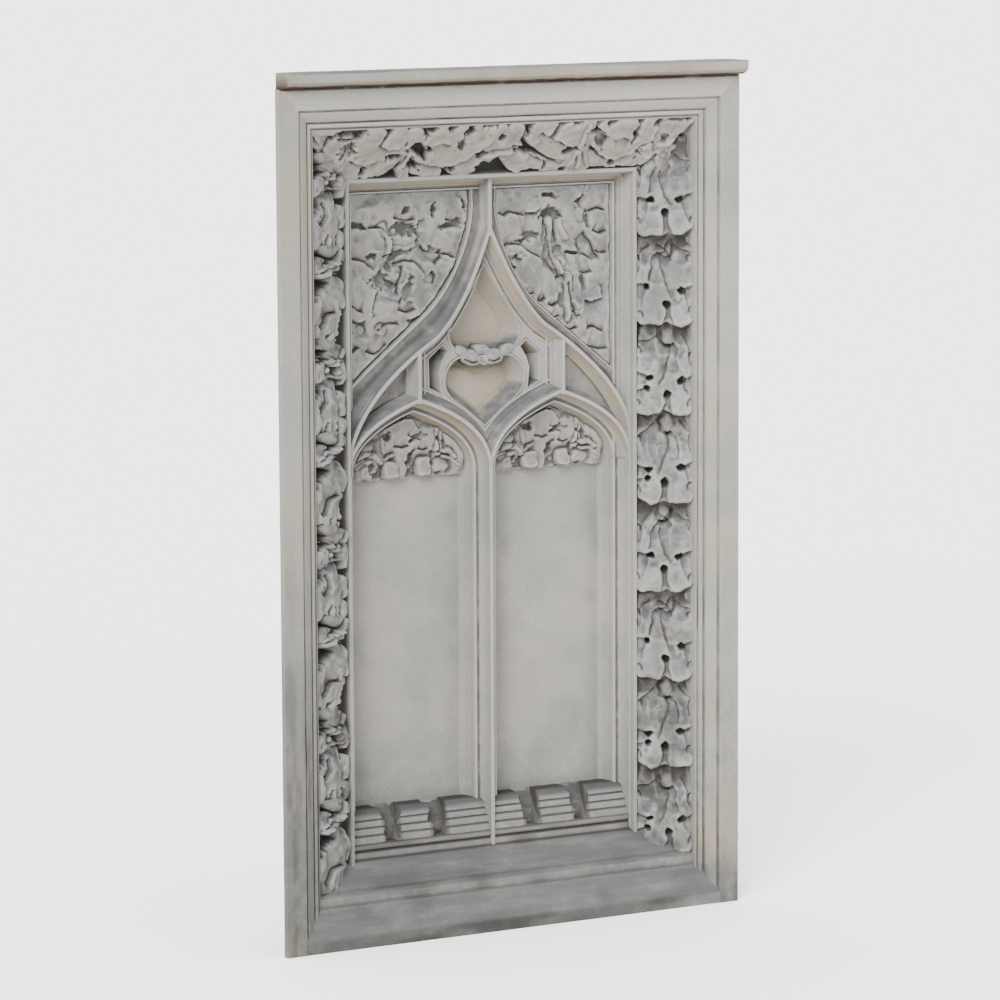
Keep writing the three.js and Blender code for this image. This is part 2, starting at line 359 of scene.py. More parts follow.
def mixColour(tree, factor, first, second, blend="MIX"):
    mix = addNode(tree, "ShaderNodeMix", data_type="RGBA", blend_type=blend)
    for socket, value in ((mix.inputs[0], factor), (mix.inputs[6], first), (mix.inputs[7], second)):
        if isinstance(value, bpy.types.NodeSocket):
            tree.links.new(value, socket)
        elif isinstance(value, tuple):
            socket.default_value = (*value, 1)
        else:
            socket.default_value = value
    return mix.outputs[2]


def mapped(tree, value, low, high, outLow=0.0, outHigh=1.0):
    node = addNode(
        tree, "ShaderNodeMapRange", interpolation_type="SMOOTHSTEP",
        inputs={0: value, 1: low, 2: high, 3: outLow, 4: outHigh},
    )
    return node.outputs[0]


def times(tree, first, second):
    return addNode(tree, "ShaderNodeMath", operation="MULTIPLY", inputs={0: first, 1: second}).outputs[0]


def reading(tree, name):
    return addNode(tree, "ShaderNodeAttribute", attribute_name=name).outputs["Fac"]


def noiseAt(tree, where, scale, detail=4.0, rough=0.55):
    inputs = {"Vector": where, "Scale": scale, "Detail": detail, "Roughness": rough}
    return addNode(tree, "ShaderNodeTexNoise", inputs).outputs["Fac"]


def stoneMaterial(name, look, roughness=0.93):
    material = bpy.data.materials.new(name)
    material.use_nodes = True
    tree = material.node_tree
    shader = tree.nodes["Principled BSDF"]
    shader.inputs["Roughness"].default_value = roughness
    shader.inputs["Specular IOR Level"].default_value = 0.25
    coordinates = tree.nodes.new("ShaderNodeTexCoord")
    where = coordinates.outputs["Object"]
    parts = addNode(tree, "ShaderNodeSeparateXYZ", {0: where})
    facing = addNode(tree, "ShaderNodeSeparateXYZ", {0: coordinates.outputs["Normal"]}).outputs[2]
    height = parts.outputs[2]
    cavity = reading(tree, "cavity")
    grime = reading(tree, "grime")
    broad = reading(tree, "hollow")
    patches = noiseAt(tree, where, look["patchScale"])
    mottle = noiseAt(tree, where, 38.0, 5.0, 0.6)
    speckle = noiseAt(tree, where, look["speckleScale"], 2.0)
    colour = mixColour(tree, mapped(tree, patches, 0.40, 0.62), look["pale"], look["grey"])
    warmth = times(tree, mapped(tree, facing, 0.05, -0.55), mapped(tree, mottle, 0.30, 0.62))
    colour = mixColour(tree, warmth, colour, look["warm"])
    low = mapped(tree, height, panelLow.z + look["dampTop"], panelLow.z + 0.02)
    damp = times(tree, low, mapped(tree, mottle, 0.3, 0.6, 0.35, 0.9))
    colour = mixColour(tree, damp, colour, look["damp"])
    streaked = addNode(tree, "ShaderNodeMapping", {"Vector": where, "Scale": (7.0, 30.0, 46.0)}).outputs[0]
    streaks = noiseAt(tree, streaked, 1.0, 5.0, 0.6)
    upward = times(tree, mapped(tree, facing, 0.10, 0.52), mapped(tree, streaks, 0.28, 0.60, 0.42, 1.0))
    colour = mixColour(tree, upward, colour, look["soot"])
    high = mapped(tree, height, panelHigh.z - look["stainDepth"], panelHigh.z - 0.01)
    stain = times(tree, high, mapped(tree, patches, 0.36, 0.60, 0.0, 0.45))
    colour = mixColour(tree, stain, colour, look["warm"])
    ochre = reading(tree, "ochre")
    stained = times(tree, ochre, mapped(tree, mottle, 0.25, 0.6, 0.4, 1.0))
    colour = mixColour(tree, stained, colour, look["warm"])
    # Painted highlight: broad ridges paler
    colour = mixColour(tree, mapped(tree, broad, -0.10, -0.8, 0.0, 0.5), colour, look["edge"])
    # Painted shade: broad hollows darker
    shaded = times(tree, mapped(tree, broad, 0.0, 0.65), mapped(tree, mottle, 0.25, 0.6, 0.55, 1.0))
    colour = mixColour(tree, shaded, colour, look["shade"])
    # Painted highlight on sharp edges, painted shade in narrow grooves
    colour = mixColour(tree, mapped(tree, cavity, -0.20, -0.85, 0.0, 0.5), colour, look["edge"])
    hollow = times(tree, mapped(tree, cavity, 0.10, 1.0), mapped(tree, mottle, 0.2, 0.6, 0.40, 0.80))
    colour = mixColour(tree, hollow, colour, look["grimeColour"])
    # Grime and painted shade, as each piece sets them
    colour = mixColour(tree, mapped(tree, grime, 0.0, 1.0, 0.0, 0.93), colour, look["grimeColour"])
    # Brown stain at the bedding joint, with painted shadow under the ledge
    rust = reading(tree, "rust")
    rusted = times(tree, rust, mapped(tree, mottle, 0.2, 0.5, 0.6, 1.0))
    colour = mixColour(tree, rusted, colour, look["rust"])
    sideTone = mapped(tree, parts.outputs[0], panelLow.x, panelHigh.x, look["leftTone"], 1.0)
    freckle = times(tree, mapped(tree, speckle, 0.25, 0.75, 0.86, 1.10), sideTone)
    shade = addNode(tree, "ShaderNodeCombineColor", inputs={0: freckle, 1: freckle, 2: freckle}).outputs[0]
    colour = mixColour(tree, 1.0, colour, shade, "MULTIPLY")
    tree.links.new(colour, shader.inputs["Base Color"])
    pits = noiseAt(tree, where, 120.0, 6.0, 0.65)
    coarse = addNode(tree, "ShaderNodeBump", {"Strength": 0.35, "Distance": 0.0016, "Height": pits})
    fine = addNode(tree, "ShaderNodeBump", {
        "Strength": 0.3, "Distance": 0.0006, "Height": speckle, "Normal": coarse.outputs[0],
    })
    tree.links.new(fine.outputs[0], shader.inputs["Normal"])
    return material


carvedLook = {
    **stoneLook, "pale": (0.152, 0.149, 0.140), "warm": (0.170, 0.150, 0.118), "grey": (0.094, 0.093, 0.091),
    "edge": (0.208, 0.205, 0.195), "patchScale": 15.0,
}
limestone = stoneMaterial("weatheredLimestone", stoneLook)
carvedStone = stoneMaterial("carvedLimestone", carvedLook)
print("stone ready")

# Camera, floor and lights
view = {
    "spot": (-3.9885, -7.440, 1.180), "right": (0.87786, -0.47889, -0.00497),
    "up": (0.07083, 0.11957, 0.99030), "lens": 171.6, "sensor": 36, "farthest": 200,
}
cameraData = bpy.data.cameras.new("viewCamera")
cameraData.lens = view["lens"]
cameraData.sensor_width = view["sensor"]
cameraData.clip_end = view["farthest"]
camera = bpy.data.objects.new("viewCamera", cameraData)
scene.collection.objects.link(camera)
right, upward = Vector(view["right"]), Vector(view["up"])
turned = Matrix((right, upward, right.cross(upward))).transposed().to_4x4()
camera.matrix_world = Matrix.Translation(view["spot"]) @ turned
scene.camera = camera

studio = {
    "floorSize": 160.0, "floorColour": (0.86, 0.86, 0.87), "worldStrength": 2.9,
    "sunFrom": (-0.58, -0.60, 0.55), "sunPower": 7.5, "sunAngle": 30.0,
}


def addSun(name, fromWhere, power, angle):
    light = bpy.data.lights.new(name, "SUN")
    light.energy = power
    light.angle = math.radians(angle)
    lamp = bpy.data.objects.new(name, light)
    lamp.rotation_mode = "QUATERNION"
    lamp.rotation_quaternion = (-Vector(fromWhere)).to_track_quat("-Z", "Y")
    scene.collection.objects.link(lamp)


def makeStudio():
    half = studio["floorSize"] / 2
    z = panelLow.z
    corners = [(-half, -half, z), (half, -half, z), (half, half, z), (-half, half, z)]
    floor = bpy.data.objects.new("studioFloor", newMesh("studioFloor", corners, [(0, 1, 2, 3)]))
    paint = bpy.data.materials.new("floorPaint")
    paint.use_nodes = True
    paint.node_tree.nodes["Principled BSDF"].inputs["Base Color"].default_value = (*studio["floorColour"], 1)
    paint.node_tree.nodes["Principled BSDF"].inputs["Roughness"].default_value = 0.95
    paint.node_tree.nodes["Principled BSDF"].inputs["Specular IOR Level"].default_value = 0.0
    floor.data.materials.append(paint)
    scene.collection.objects.link(floor)
    world = bpy.data.worlds.new("studioAir")
    world.use_nodes = True
    world.node_tree.nodes["Background"].inputs["Color"].default_value = (1, 1, 1, 1)
    world.node_tree.nodes["Background"].inputs["Strength"].default_value = studio["worldStrength"]
    scene.world = world
    addSun("softSun", studio["sunFrom"], studio["sunPower"], studio["sunAngle"])


makeStudio()
print("camera, floor and lights ready")


# Mouldings: a profile swept along a path
def makeMouldingTree():
    tree, given, result = newGeometryTree("mouldingRun", [
        ("Profile", "NodeSocketObject", None), ("Wear", "NodeSocketFloat", 0.0005),
        ("Wear Size", "NodeSocketFloat", 26.0), ("Seed", "NodeSocketInt", 3),
        ("Material", "NodeSocketMaterial", None),
    ])
    path = addNode(tree, "GeometryNodeMeshToCurve", {"Mesh": given.outputs["Geometry"]})
    level = addNode(tree, "GeometryNodeSetCurveNormal", {"Curve": path.outputs[0]}, mode="FREE")
    level.inputs["Normal"].default_value = (0, -1, 0)
    info = addNode(tree, "GeometryNodeObjectInfo", {"Object": given.outputs["Profile"]})
    section = addNode(tree, "GeometryNodeMeshToCurve", {"Mesh": info.outputs["Geometry"]})
    sweep = addNode(tree, "GeometryNodeCurveToMesh", {
        "Curve": level.outputs[0], "Profile Curve": section.outputs[0], "Fill Caps": True,
    })
    wear, size, seed = (given.outputs[label] for label in ("Wear", "Wear Size", "Seed"))
    worn = addDrift(tree, sweep.outputs[0], wear, size, seed, 3.0)
    realized = addNode(tree, "GeometryNodeRealizeInstances", {"Geometry": worn})
    addMaterial(tree, realized.outputs[0], given, result)
    return tree


mouldingTree = makeMouldingTree()


def denser(profile, size=4.5, longest=60.0):  # the long backs of a profile are left as they are
    out = []
    for first, second in zip(profile, list(profile[1:]) + [profile[0]]):
        first, second = np.array(first, float), np.array(second, float)
        length = np.hypot(*(second - first))
        parts = math.ceil(length / size) if length < longest else 1
        out += [tuple(first + (second - first) * k / parts) for k in range(parts)]
    return out


# path holds (across, height) and profile holds (offset to the right of travel, depth)
def sweepRun(path, profile, step=12.0, wear=0.45, wearSize=26.0, seed=3):
    path = spaced(path, step)
    profile = denser(profile)
    hostMesh = bpy.data.meshes.new("path")
    links = [(k, k + 1) for k in range(len(path) - 1)]
    hostMesh.from_pydata(place(path[:, 0], path[:, 1], 0).tolist(), links, [])
    count = len(profile)
    profileMesh = bpy.data.meshes.new("profile")
    corners = [(-depth * mm, offset * mm, 0) for offset, depth in profile]
    profileMesh.from_pydata(corners, [(k, (k + 1) % count) for k in range(count)], [])
    profileObject = bpy.data.objects.new("profile", profileMesh)
    scene.collection.objects.link(profileObject)
    mesh = bakeTree(bpy.data.objects.new("path", hostMesh), mouldingTree, {
        "Profile": profileObject, "Wear": wear * mm, "Wear Size": wearSize, "Seed": seed,
        "Material": limestone,
    })
    bpy.data.objects.remove(profileObject)
    tidyNormals(mesh)
    return mesh


# Outer frame: fillet, ogee, bead and the wide hollow that holds the leaves
frameLook = {
    "wear": 0.5, "topWear": 1.0, "step": 9.0, "topShift": 2.0, "backDepth": 164.0, "flankAngle": 32.0,
    "edge": 12.0, "inner": 281.6, "footDirt": 0.36, "leftDirt": 0.38, "streakDirt": 0.2,
}
frameProfile = [  # (distance from the centre line, depth)
    (455.3, 0.0), (449.5, 0.1), (436, 0.2), (419, 0.3), (417.8, 0.9), (416.8, 4.8), (414.6, 6.4),
    (412.8, 4.9), (410.6, 5.8), (405, 9.4), (400, 13), (397.4, 15), (396.4, 16.2), (395.6, 21),
    (393.6, 22.2), (392.2, 19.6), (389.5, 19.0), (386.8, 19.8), (385.4, 21.6), (384.6, 25.4), (382.8, 26.4),
    (381.8, 23.6), (380.6, 24.2), (379.4, 31.5), (378.2, 40), (375.5, 50), (370, 61), (361, 72), (348, 82),
    (330, 90.5), (313, 94), (301, 93), (294.6, 90), (291.6, 83), (290.4, 80.2), (284.4, 80.0), (283.4, 84),
    (283.0, 93), (281.6, 97),
]


def flankAt(depth):  # half the width of the block, which narrows behind its front edge
    slope = math.tan(math.radians(frameLook["flankAngle"]))
    return panelHalf - np.maximum(depth - frameLook["edge"], 0) * slope


# Dirt and painted shade in the grooves of a profile given as (place, depth), at any place across it
def grooveDirtAndShade(profile, spread=3.2, full=2.4):
    ordered = np.array(sorted(profile), float)
    stops = np.arange(ordered[0, 0], ordered[-1, 0], 0.4)
    depth = np.interp(stops, ordered[:, 0], ordered[:, 1])
    around = np.interp(stops - spread, stops, depth) + np.interp(stops + spread, stops, depth)
    dirtAndShade = smoothStep(0.3, full, depth - around / 2)
    return lambda where: np.interp(where, stops, dirtAndShade)


# Painted shade deep in the wide hollow behind the leaves, dirt and painted shade in the grooves, and streaks
# and a darker foot and left side
def frameGrimeAndShade(across, height, depth):
    reach = np.maximum(np.abs(across), height - (panelHeight + frameLook["topShift"] - panelHalf))
    band = smoothStep(290, 297, reach) * smoothStep(379, 374, reach)
    dirtAndShade = grooveDirtAndShade(frameProfile)(reach) * smoothStep(8, 30, height)
    uneven = 0.42 + 0.22 * softNoise(across, height, 60, 15) + 0.12 * softNoise(across, height, 17, 16)
    face = 0.05 * smoothStep(417, 421, reach) * (depth < 1) * smoothStep(1350, 1150, height)
    streaks = softNoise(across, height * 0.12, 11, 35) + 0.4 * softNoise(across, height * 0.3, 5, 36)
    streaked = smoothStep(-0.1, 0.9, streaks) * (reach > 378) * smoothStep(1250, 300, height)
    face = face + frameLook["streakDirt"] * streaked
    face = face + frameLook["footDirt"] * smoothStep(170, 10, height) * smoothStep(370, 384, across)
    face = face + frameLook["leftDirt"] * smoothStep(1000, 250, height) * smoothStep(-370, -382, across)
    face = face * smoothStep(60, 12, depth) + 0.1 * (reach > 376) * smoothStep(12, 40, depth)
    return np.maximum(band * smoothStep(40, 74, depth), uneven * dirtAndShade * (reach > 376) + face)


def frameOchre(across, height, depth):
    spots = softNoise(across, height, 130, 21) + 0.3 * softNoise(across, height, 30, 22)
    return 0.5 * smoothStep(0.0, 0.7, spots) * smoothStep(1475, 1380, height) * smoothStep(60, 12, depth)


# Brown stain from the bedding joint and painted shadow under the ledge, down to a wavering line, and nowhere
# behind the ledge
def topStainAndShadow(across, height, depth):
    line = height - panelHeight + 0.8 * softNoise(across, across * 0, 21, 18)
    return smoothStep(-5.0, -2.5, line) * smoothStep(100, 94, depth)


def makeFrame():
    back, step, wear = frameLook["backDepth"], frameLook["step"], frameLook["wear"]
    inner = frameLook["inner"]
    ends = [(inner, back), (flankAt(back), back), (panelHalf, frameLook["edge"]), (panelHalf, 1.0)]
    side = frameProfile + ends
    corner = panelHeight + frameLook["topShift"]
    for name, sign in (("frameLeft", -1), ("frameRight", 1)):
        mesh = sweepRun([(0, 0), (0, corner)], [(sign * o, d) for o, d in side], step, wear)
        cutAt(mesh, sign * panelHalf, corner, 0, (sign, 0, -1))
        finishPiece(name, mesh, limestone, grime=frameGrimeAndShade, ochre=frameOchre)
    top = [(panelHalf - o, d) for o, d in frameProfile] + [(panelHalf - inner, back), (2, back), (2, 1.0)]
    mesh = sweepRun([(-panelHalf, corner), (panelHalf, corner)], top, step, frameLook["topWear"], seed=5)
    for sign in (-1, 1):
        cutAt(mesh, sign * panelHalf, corner, 0, (-sign, 0, 1))
    cutFlanks(mesh)
    finishPiece("frameTop", mesh, limestone, grime=frameGrimeAndShade, ochre=frameOchre, rust=topStainAndShadow)
    setAttribute(mesh, "hollow", -0.8 * smoothStep(1370, 1410, panelSpots(mesh)[1]))  # painted lighter near the top, to offset the shade under the ledge


def cutFlanks(mesh, inset=0.0):  # trims a run that goes right across to the sloping sides of the block
    slope = math.radians(frameLook["flankAngle"])
    for sign in (-1, 1):
        inward = (-sign * math.cos(slope), -math.sin(slope), 0)
        cutAt(mesh, sign * (panelHalf - inset), 0, frameLook["edge"], inward)


makeFrame()
print("frame made")

# The slab behind the carving
slabLook = {"front": 163.9, "grid": 9.0, "tooling": 0.7}


def makeSlab():
    front = slabLook["front"]
    heights = np.linspace(0, panelHeight, int(panelHeight / slabLook["grid"]))
    widths = np.linspace(-1, 1, 80)
    w, h = np.meshgrid(widths, heights)
    back = flankAt(panelDepth)
    rough = slabLook["tooling"] * (0.5 + 0.5 * softNoise(w * back, h, 34, 8)) * smoothStep(1, 0.97, np.abs(w))
    mesh = closedSheet("backSlab", w * back, h, panelDepth - rough, front)
    across, height, depth = panelSpots(mesh)
    grow = flankAt(front) / back
    across = np.where(np.abs(depth - front) < 0.01, across * grow, across)
    moveSpots(mesh, across, height, depth)
    tidyNormals(mesh)
    finishPiece("backSlab", mesh, limestone)


makeSlab()
print("slab made")

# Sill: a weathering slope with fillets, a scotia and the stepped cresting under the lights
sillLook = {
    "half": 419.0, "step": 7.0, "wear": 0.9, "inset": 1.6, "gapHalf": 17.0, "gaps": (-198, -104, 84, 184),
    "crestHalf": 292, "crestStep": 2.2, "crestWear": 0.7, "endBite": 26, "coreGrid": 2.4,
}
sillProfile = [  # (height, depth)
    (0, 2.0), (1.5, 0.5), (18.5, 0.4), (21, 1.2), (46, 13.4), (68, 25.4), (70.5, 26.4), (73, 30.0),
    (75, 30.6), (87, 30.4), (90, 31.4), (92.4, 34.2), (93.4, 38.5), (97, 43), (104, 49), (133, 83),
    (134, 86.5), (135, 90.5), (137, 92.5), (147, 93.5), (149, 96), (150, 98.5), (151.2, 98), (152.5, 95),
    (155, 93), (159, 92.4), (161, 93.6), (162.1, 96.5), (162.2, 99.5),
]
crestProfile = [
    (161, 99.5), (163.5, 98), (173.5, 98.4), (174.8, 99.4), (175.2, 102.6), (176.6, 102.8), (177.6, 101.2),
    (187.2, 102), (188.2, 103.2), (188.6, 106.6), (190, 106.8), (191, 105), (199.6, 106.4), (200.6, 107.6),
    (201, 110.6), (202.4, 110.8), (203.4, 109), (211, 111), (214, 113.5), (217, 115.6), (219.5, 119),
    (221, 146), (221, 156),
]


def acrossProfile(points, back):  # travel is to the right, so up is a negative offset
    return [(-h, d) for h, d in points] + [(-points[-1][0], back), (-points[0][0], back)]


# Dirt and painted shade in the grooves, with a darker foot, slope and fillets and clouds
def sillGrimeAndShade(across, height, depth):
    grooves = 0.5 * grooveDirtAndShade(sillProfile, 4.0, 3.0)(height) * (height > 24)
    foot = 0.62 * smoothStep(26, 18, height) * smoothStep(460, 260, across)
    foot = foot + 0.16 * smoothStep(18, 26, height)
    clouds = 0.26 * smoothStep(-0.3, 0.9, softNoise(across, height * 3, 60, 5))
    weathering = 0.10 * smoothStep(94, 104, height)
    fillets = 0.1 * smoothStep(133, 139, height) * smoothStep(156, 152, height)
    fillets = fillets + 0.1 * smoothStep(72, 76, height) * smoothStep(94, 90, height)
    return grooves + foot + clouds + weathering + fillets


def makeSill():
    half = sillLook["half"]
    profile = acrossProfile(sillProfile, carvingBack)
    mesh = sweepRun([(-half, 0), (half, 0)], profile, sillLook["step"], sillLook["wear"], 22, 7)
    cutFlanks(mesh, sillLook["inset"])
    finishPiece("sill", mesh, limestone, grime=sillGrimeAndShade)
    profile = acrossProfile(crestProfile, carvingBack)
    crestDirtAndShade = grooveDirtAndShade(crestProfile, 3.0, 2.0)
    crestHalf = sillLook["crestHalf"]
    stops = [-crestHalf]
    for gap in sillLook["gaps"]:
        stops += [gap - sillLook["gapHalf"], gap + sillLook["gapHalf"]]
    stops.append(crestHalf)
    for number in range(0, len(stops), 2):
        start, end = stops[number], stops[number + 1]
        path, seed = [(start, 0), (end, 0)], 11 + number
        mesh = sweepRun(path, profile, sillLook["crestStep"], sillLook["crestWear"], 40, seed)

        # Painted shade on the ends beside the gaps, and dirt and painted shade in the grooves
        def crestGrimeAndShade(x, z, d, start=start, end=end):
            leftEnd = smoothStep(start + 5, start, x) * (start > -crestHalf)
            rightEnd = smoothStep(end - 5, end, x) * (end < crestHalf)
            face = 0.2 + 0.5 * crestDirtAndShade(z) * (d < 146) + 0.4 * smoothStep(208, 216, z)
            return np.maximum(face, 0.6 * np.maximum(leftEnd, rightEnd))

        across, height, depth = panelSpots(mesh)
        for edge, sign in ((start, 1), (end, -1)):
            if abs(edge) < crestHalf:
                near = smoothStep(sillLook["endBite"], 0, np.abs(across - edge))
                bite = 5 * softNoise(height, depth, 15, 20 + number)
                bite = bite + 2.5 * softNoise(height, depth, 5, 31 + number)
                across = across + near * (bite + sign * 0.16 * (height - 195))
        moveSpots(mesh, across, height, depth)
        finishPiece(f"cresting{number // 2 + 1}", mesh, limestone, grime=crestGrimeAndShade)
    grid = sillLook["coreGrid"]
    xs, zs = np.meshgrid(np.arange(-crestHalf, crestHalf + 1, grid), np.arange(157, 223, grid))
    depth = 126 + 5 * softNoise(xs, zs, 22, 4) + 2 * softNoise(xs, zs, 8, 5) + smoothStep(186, 222, zs) * 26
    mesh = closedSheet("crestingCore", xs, zs, depth, carvingBack)
    # Painted shade on the core that shows in the gaps
    finishPiece("crestingCore", mesh, limestone, grime=lambda x, z, d: 0.55 + 0 * x)


makeSill()
print("sill made")

# Ledge on top, on its bedding joint, with a brown stain and painted shadow along its foot
ledgeLook = {"wear": 1.1, "step": 6.0, "leftEnd": -450.0}


def makeLedge():
    low, high, front = ledgeBed, ledgeTop, ledgeFront
    section = [
        (low, 92), (low, 4), (low + 1.5, -10), (low + 4.2, -20.5), (low + 7, -26), (low + 9.6, front + 1.2),
        (low + 11, front + 0.4), (high - 4, front + 0.4), (high - 2, front + 1.2), (high - 1.0, front + 4),
        (high - 1.2, 30), (high - 4, 92),
    ]
    path, profile = [(ledgeLook["leftEnd"], 0), (panelHalf, 0)], [(-h, d) for h, d in section]
    mesh = sweepRun(path, profile, ledgeLook["step"], ledgeLook["wear"], 18, 13)
    cutFlanks(mesh)
    # The ledge's foot is painted brown-dark: a stain and the shadow of its overhang
    finishPiece("ledge", mesh, limestone, node="cap_ledge",
                grime=lambda x, z, d: 0.22 + 0.1 * softNoise(x, z, 40, 19),
                rust=lambda x, z, d: smoothStep(6.0, 3.6, z - ledgeBed + 0.9 * softNoise(x, x * 0, 19, 17)))


makeLedge()
print("ledge made")

# Tracery bars
barLook = {
    "front": 92.0, "wear": 0.35, "wearSize": 45, "curveStep": 2.6, "shortStep": 4, "upperStep": 8,
    "longStep": 10,
}
lightSide = [
    (3, 92), (3.6, 96), (5.4, 106), (9, 114.5), (13.5, 119.5), (17, 119.6), (18.2, 117.8), (21.5, 118),
    (22.3, 121.5), (24, 130), (28, 140.5), (33, 148), (37, 151.8), (41, 151.4), (43, 153),
]
cellSide = [
    (3, 92), (3.8, 96.5), (6.5, 105), (11, 112.5), (16, 117), (19, 117.6), (20.2, 115.8), (22.6, 116.2),
    (23.4, 122),
]
sideCellSide = [(3, 92), (4.2, 98), (7.5, 107), (12, 114), (14.5, 116), (15.5, 124)]
plainSide = [(3, 92), (4, 99), (5.5, 116)]
spring, lightHalf, lancetTop = 812.0, 142.5, 945.0
headTop = 1332.5
jamb = 285.0
hoodTop = 1242.0
hoodSide = {
    "Left": {
        "shoulder": (110, 1050), "upper": ((26, 1168), (58, 1092)), "lower": ((190, 1003), (285, 920)),
        "foot": (285, 812),
    },
    "Right": {
        "shoulder": (110, 1066), "upper": ((26, 1177), (70, 1100)), "lower": ((165, 1030), (287, 940)),
        "foot": (286, 850),
    },
}
superMullion = {"Left": (-141, 1030), "Right": (147, 1037)}


def barProfile(left, right, back=carvingBack):
    front = barLook["front"] - 0.5
    edge = [(-1.5, front), (1.5, front)]
    ends = [(right[-1][0], back), (-left[-1][0], back)]
    return [(-o, d) for o, d in reversed(left)] + edge + list(right) + ends


def hoodRun(side):
    form = hoodSide[side]
    upper = bezier((0, hoodTop), *form["upper"], form["shoulder"], 24)
    lower = bezier(form["shoulder"], *form["lower"], form["foot"], 36)
    return upper, lower


def lancetSide():  # right half, from the springing to the point, about the light's centre
    return bezier((lightHalf, spring), (lightHalf, 872), (91, 914), (0, lancetTop), 30)


def lancetArch(centre=0.0):
    return join(lancetSide(), mirrored(lancetSide())[::-1]) + [centre, 0]


# The left and right side of a bar, given as on the right half and swapped over on the left half
def flanks(left, right, sign):
    return (left, right) if sign > 0 else (right, left)


def makeBar(name, path, left, right, step, cuts=(), seed=3):
    mesh = sweepRun(path, barProfile(left, right), step, barLook["wear"], barLook["wearSize"], seed)
    for across, height, normal in cuts:
        cutAt(mesh, across, height, 0, normal)
    finishPiece(name, mesh, limestone, reach=1.2)


def beyond(path, reach):  # the path carried straight on past its end
    path = np.asarray(path, float)
    last = path[-1] + (path[-1] - path[-2]) / np.hypot(*(path[-1] - path[-2])) * reach
    return np.vstack([path, last])


def makeBars():
    curveStep, shortStep = barLook["curveStep"], barLook["shortStep"]
    upperStep, longStep = barLook["upperStep"], barLook["longStep"]
    makeBar("mullion", [(0, 96), (0, spring + 2)], lightSide, lightSide, longStep)
    for side, sign in (("Left", -1), ("Right", 1)):
        lower = [(sign * jamb, 60), (sign * jamb, spring + 2)]
        upper = [(sign * jamb, spring + 2), (sign * jamb, headTop)]
        makeBar(f"jamb{side}", lower, *flanks(lightSide, plainSide, sign), longStep)
        cuts = [(sign * jamb, headTop, (sign, 0, -1))]
        makeBar(f"jambUpper{side}", upper, *flanks(cellSide, plainSide, sign), upperStep, cuts)
        centre = sign * lightHalf
        arch = lancetSide()
        for half in (-1, 1):
            path = beyond(arch * [half, 1] + [centre, 0], 30)
            inward, outward = lightSide, (sideCellSide if half == sign else cellSide)
            cuts = [(centre, lancetTop, (half, 0, 0))]
            if half != sign:
                cuts.append((0, 0, (sign, 0, 0)))
            name = f"arch{side}{'Outer' if half == sign else 'Inner'}"
            makeBar(name, path, *flanks(inward, outward, half), curveStep, cuts, 17 + half)
        upper, lower = hoodRun(side)
        path = join(upper, lower) * [sign, 1]
        inner = path[np.abs(path[:, 0]) <= abs(superMullion[side][0]) + 4]
        outer = path[np.abs(path[:, 0]) >= abs(superMullion[side][0]) - 4]
        inner = beyond(inner[::-1], 26)[::-1]
        cuts = [(0, 0, (sign, 0, 0))]
        makeBar(f"hood{side}Inner", inner, *flanks(plainSide, cellSide, sign), curveStep, cuts, 23)
        makeBar(f"hood{side}Outer", outer, *flanks(plainSide, sideCellSide, sign), curveStep, (), 29)
        across, top = superMullion[side]
        upright = [(across, lancetTop - 6), (across, top)]
        makeBar(f"superMullion{side}", upright, *flanks(cellSide, sideCellSide, sign), shortStep)
    makeBar("shaft", [(0, hoodTop - 14), (0, headTop)], plainSide, plainSide, shortStep)
    cuts = [(-jamb, headTop, (1, 0, 1)), (jamb, headTop, (-1, 0, 1))]
    makeBar("headBar", [(-jamb, headTop), (jamb, headTop)], plainSide, cellSide, upperStep, cuts)


makeBars()
print("bars made")

# Wide hollow on the outer side of the hood, from the bar to a thin fillet
hoodHollow = [
    (0.0, 93), (0.06, 97), (0.14, 104), (0.26, 111), (0.42, 117), (0.58, 120.5), (0.74, 121.8),
    (0.84, 121.2), (0.885, 120.4), (0.895, 117.4), (0.985, 117.4), (1.0, 119), (1.02, 128), (1.035, 142),
]


def hoodOuterRun(side):
    upper, lower = hoodRun(side)
    head = bezier((23, 1290), (23, 1215), (70, 1136), (109, 1101), 24)
    shoulderEnd = (134, 1080.6)
    foot = hoodSide[side]["foot"]
    bars = [spaced([(0, headTop), (0, hoodTop + 6)], 5), spaced(upper, 5), spaced(lower, 5)]
    outers = [
        [(25, headTop), (24, 1290)], join(head, [(109, 1101), shoulderEnd]),
        [shoulderEnd, (266, 973), (287, 955), (291, foot[1])],
    ]
    matched = []
    for bar, outer in zip(bars, outers):
        outer = spaced(outer, 1.0)
        stops = np.linspace(0, len(outer) - 1, len(bar))
        index = np.arange(len(outer))
        matched.append(np.stack([np.interp(stops, index, outer[:, axis]) for axis in (0, 1)], 1))
    head, shoulder, rest = matched
    return join(*bars), np.concatenate([head, shoulder, rest[1:]])


def makeHoodHollows():
    for side, sign in (("Left", -1), ("Right", 1)):
        bar, outer = hoodOuterRun(side)
        count = min(len(bar), len(outer))
        bar, outer = bar[:count], outer[:count]
        fractions = np.array([f for f, _ in hoodHollow])
        depths = np.array([d for _, d in hoodHollow])
        across = bar[:, :1] + (outer[:, :1] - bar[:, :1]) * fractions
        height = bar[:, 1:] + (outer[:, 1:] - bar[:, 1:]) * fractions
        depth = np.broadcast_to(depths, across.shape) + 0.5 * softNoise(across, height, 16, 6)
        mesh = closedSheet(f"hoodHollow{side}", sign * across, height, depth, carvingBack)
        tidyNormals(mesh)
        finishPiece(f"hoodHollow{side}", mesh, limestone, reach=1.5)


makeHoodHollows()
print("hood made")

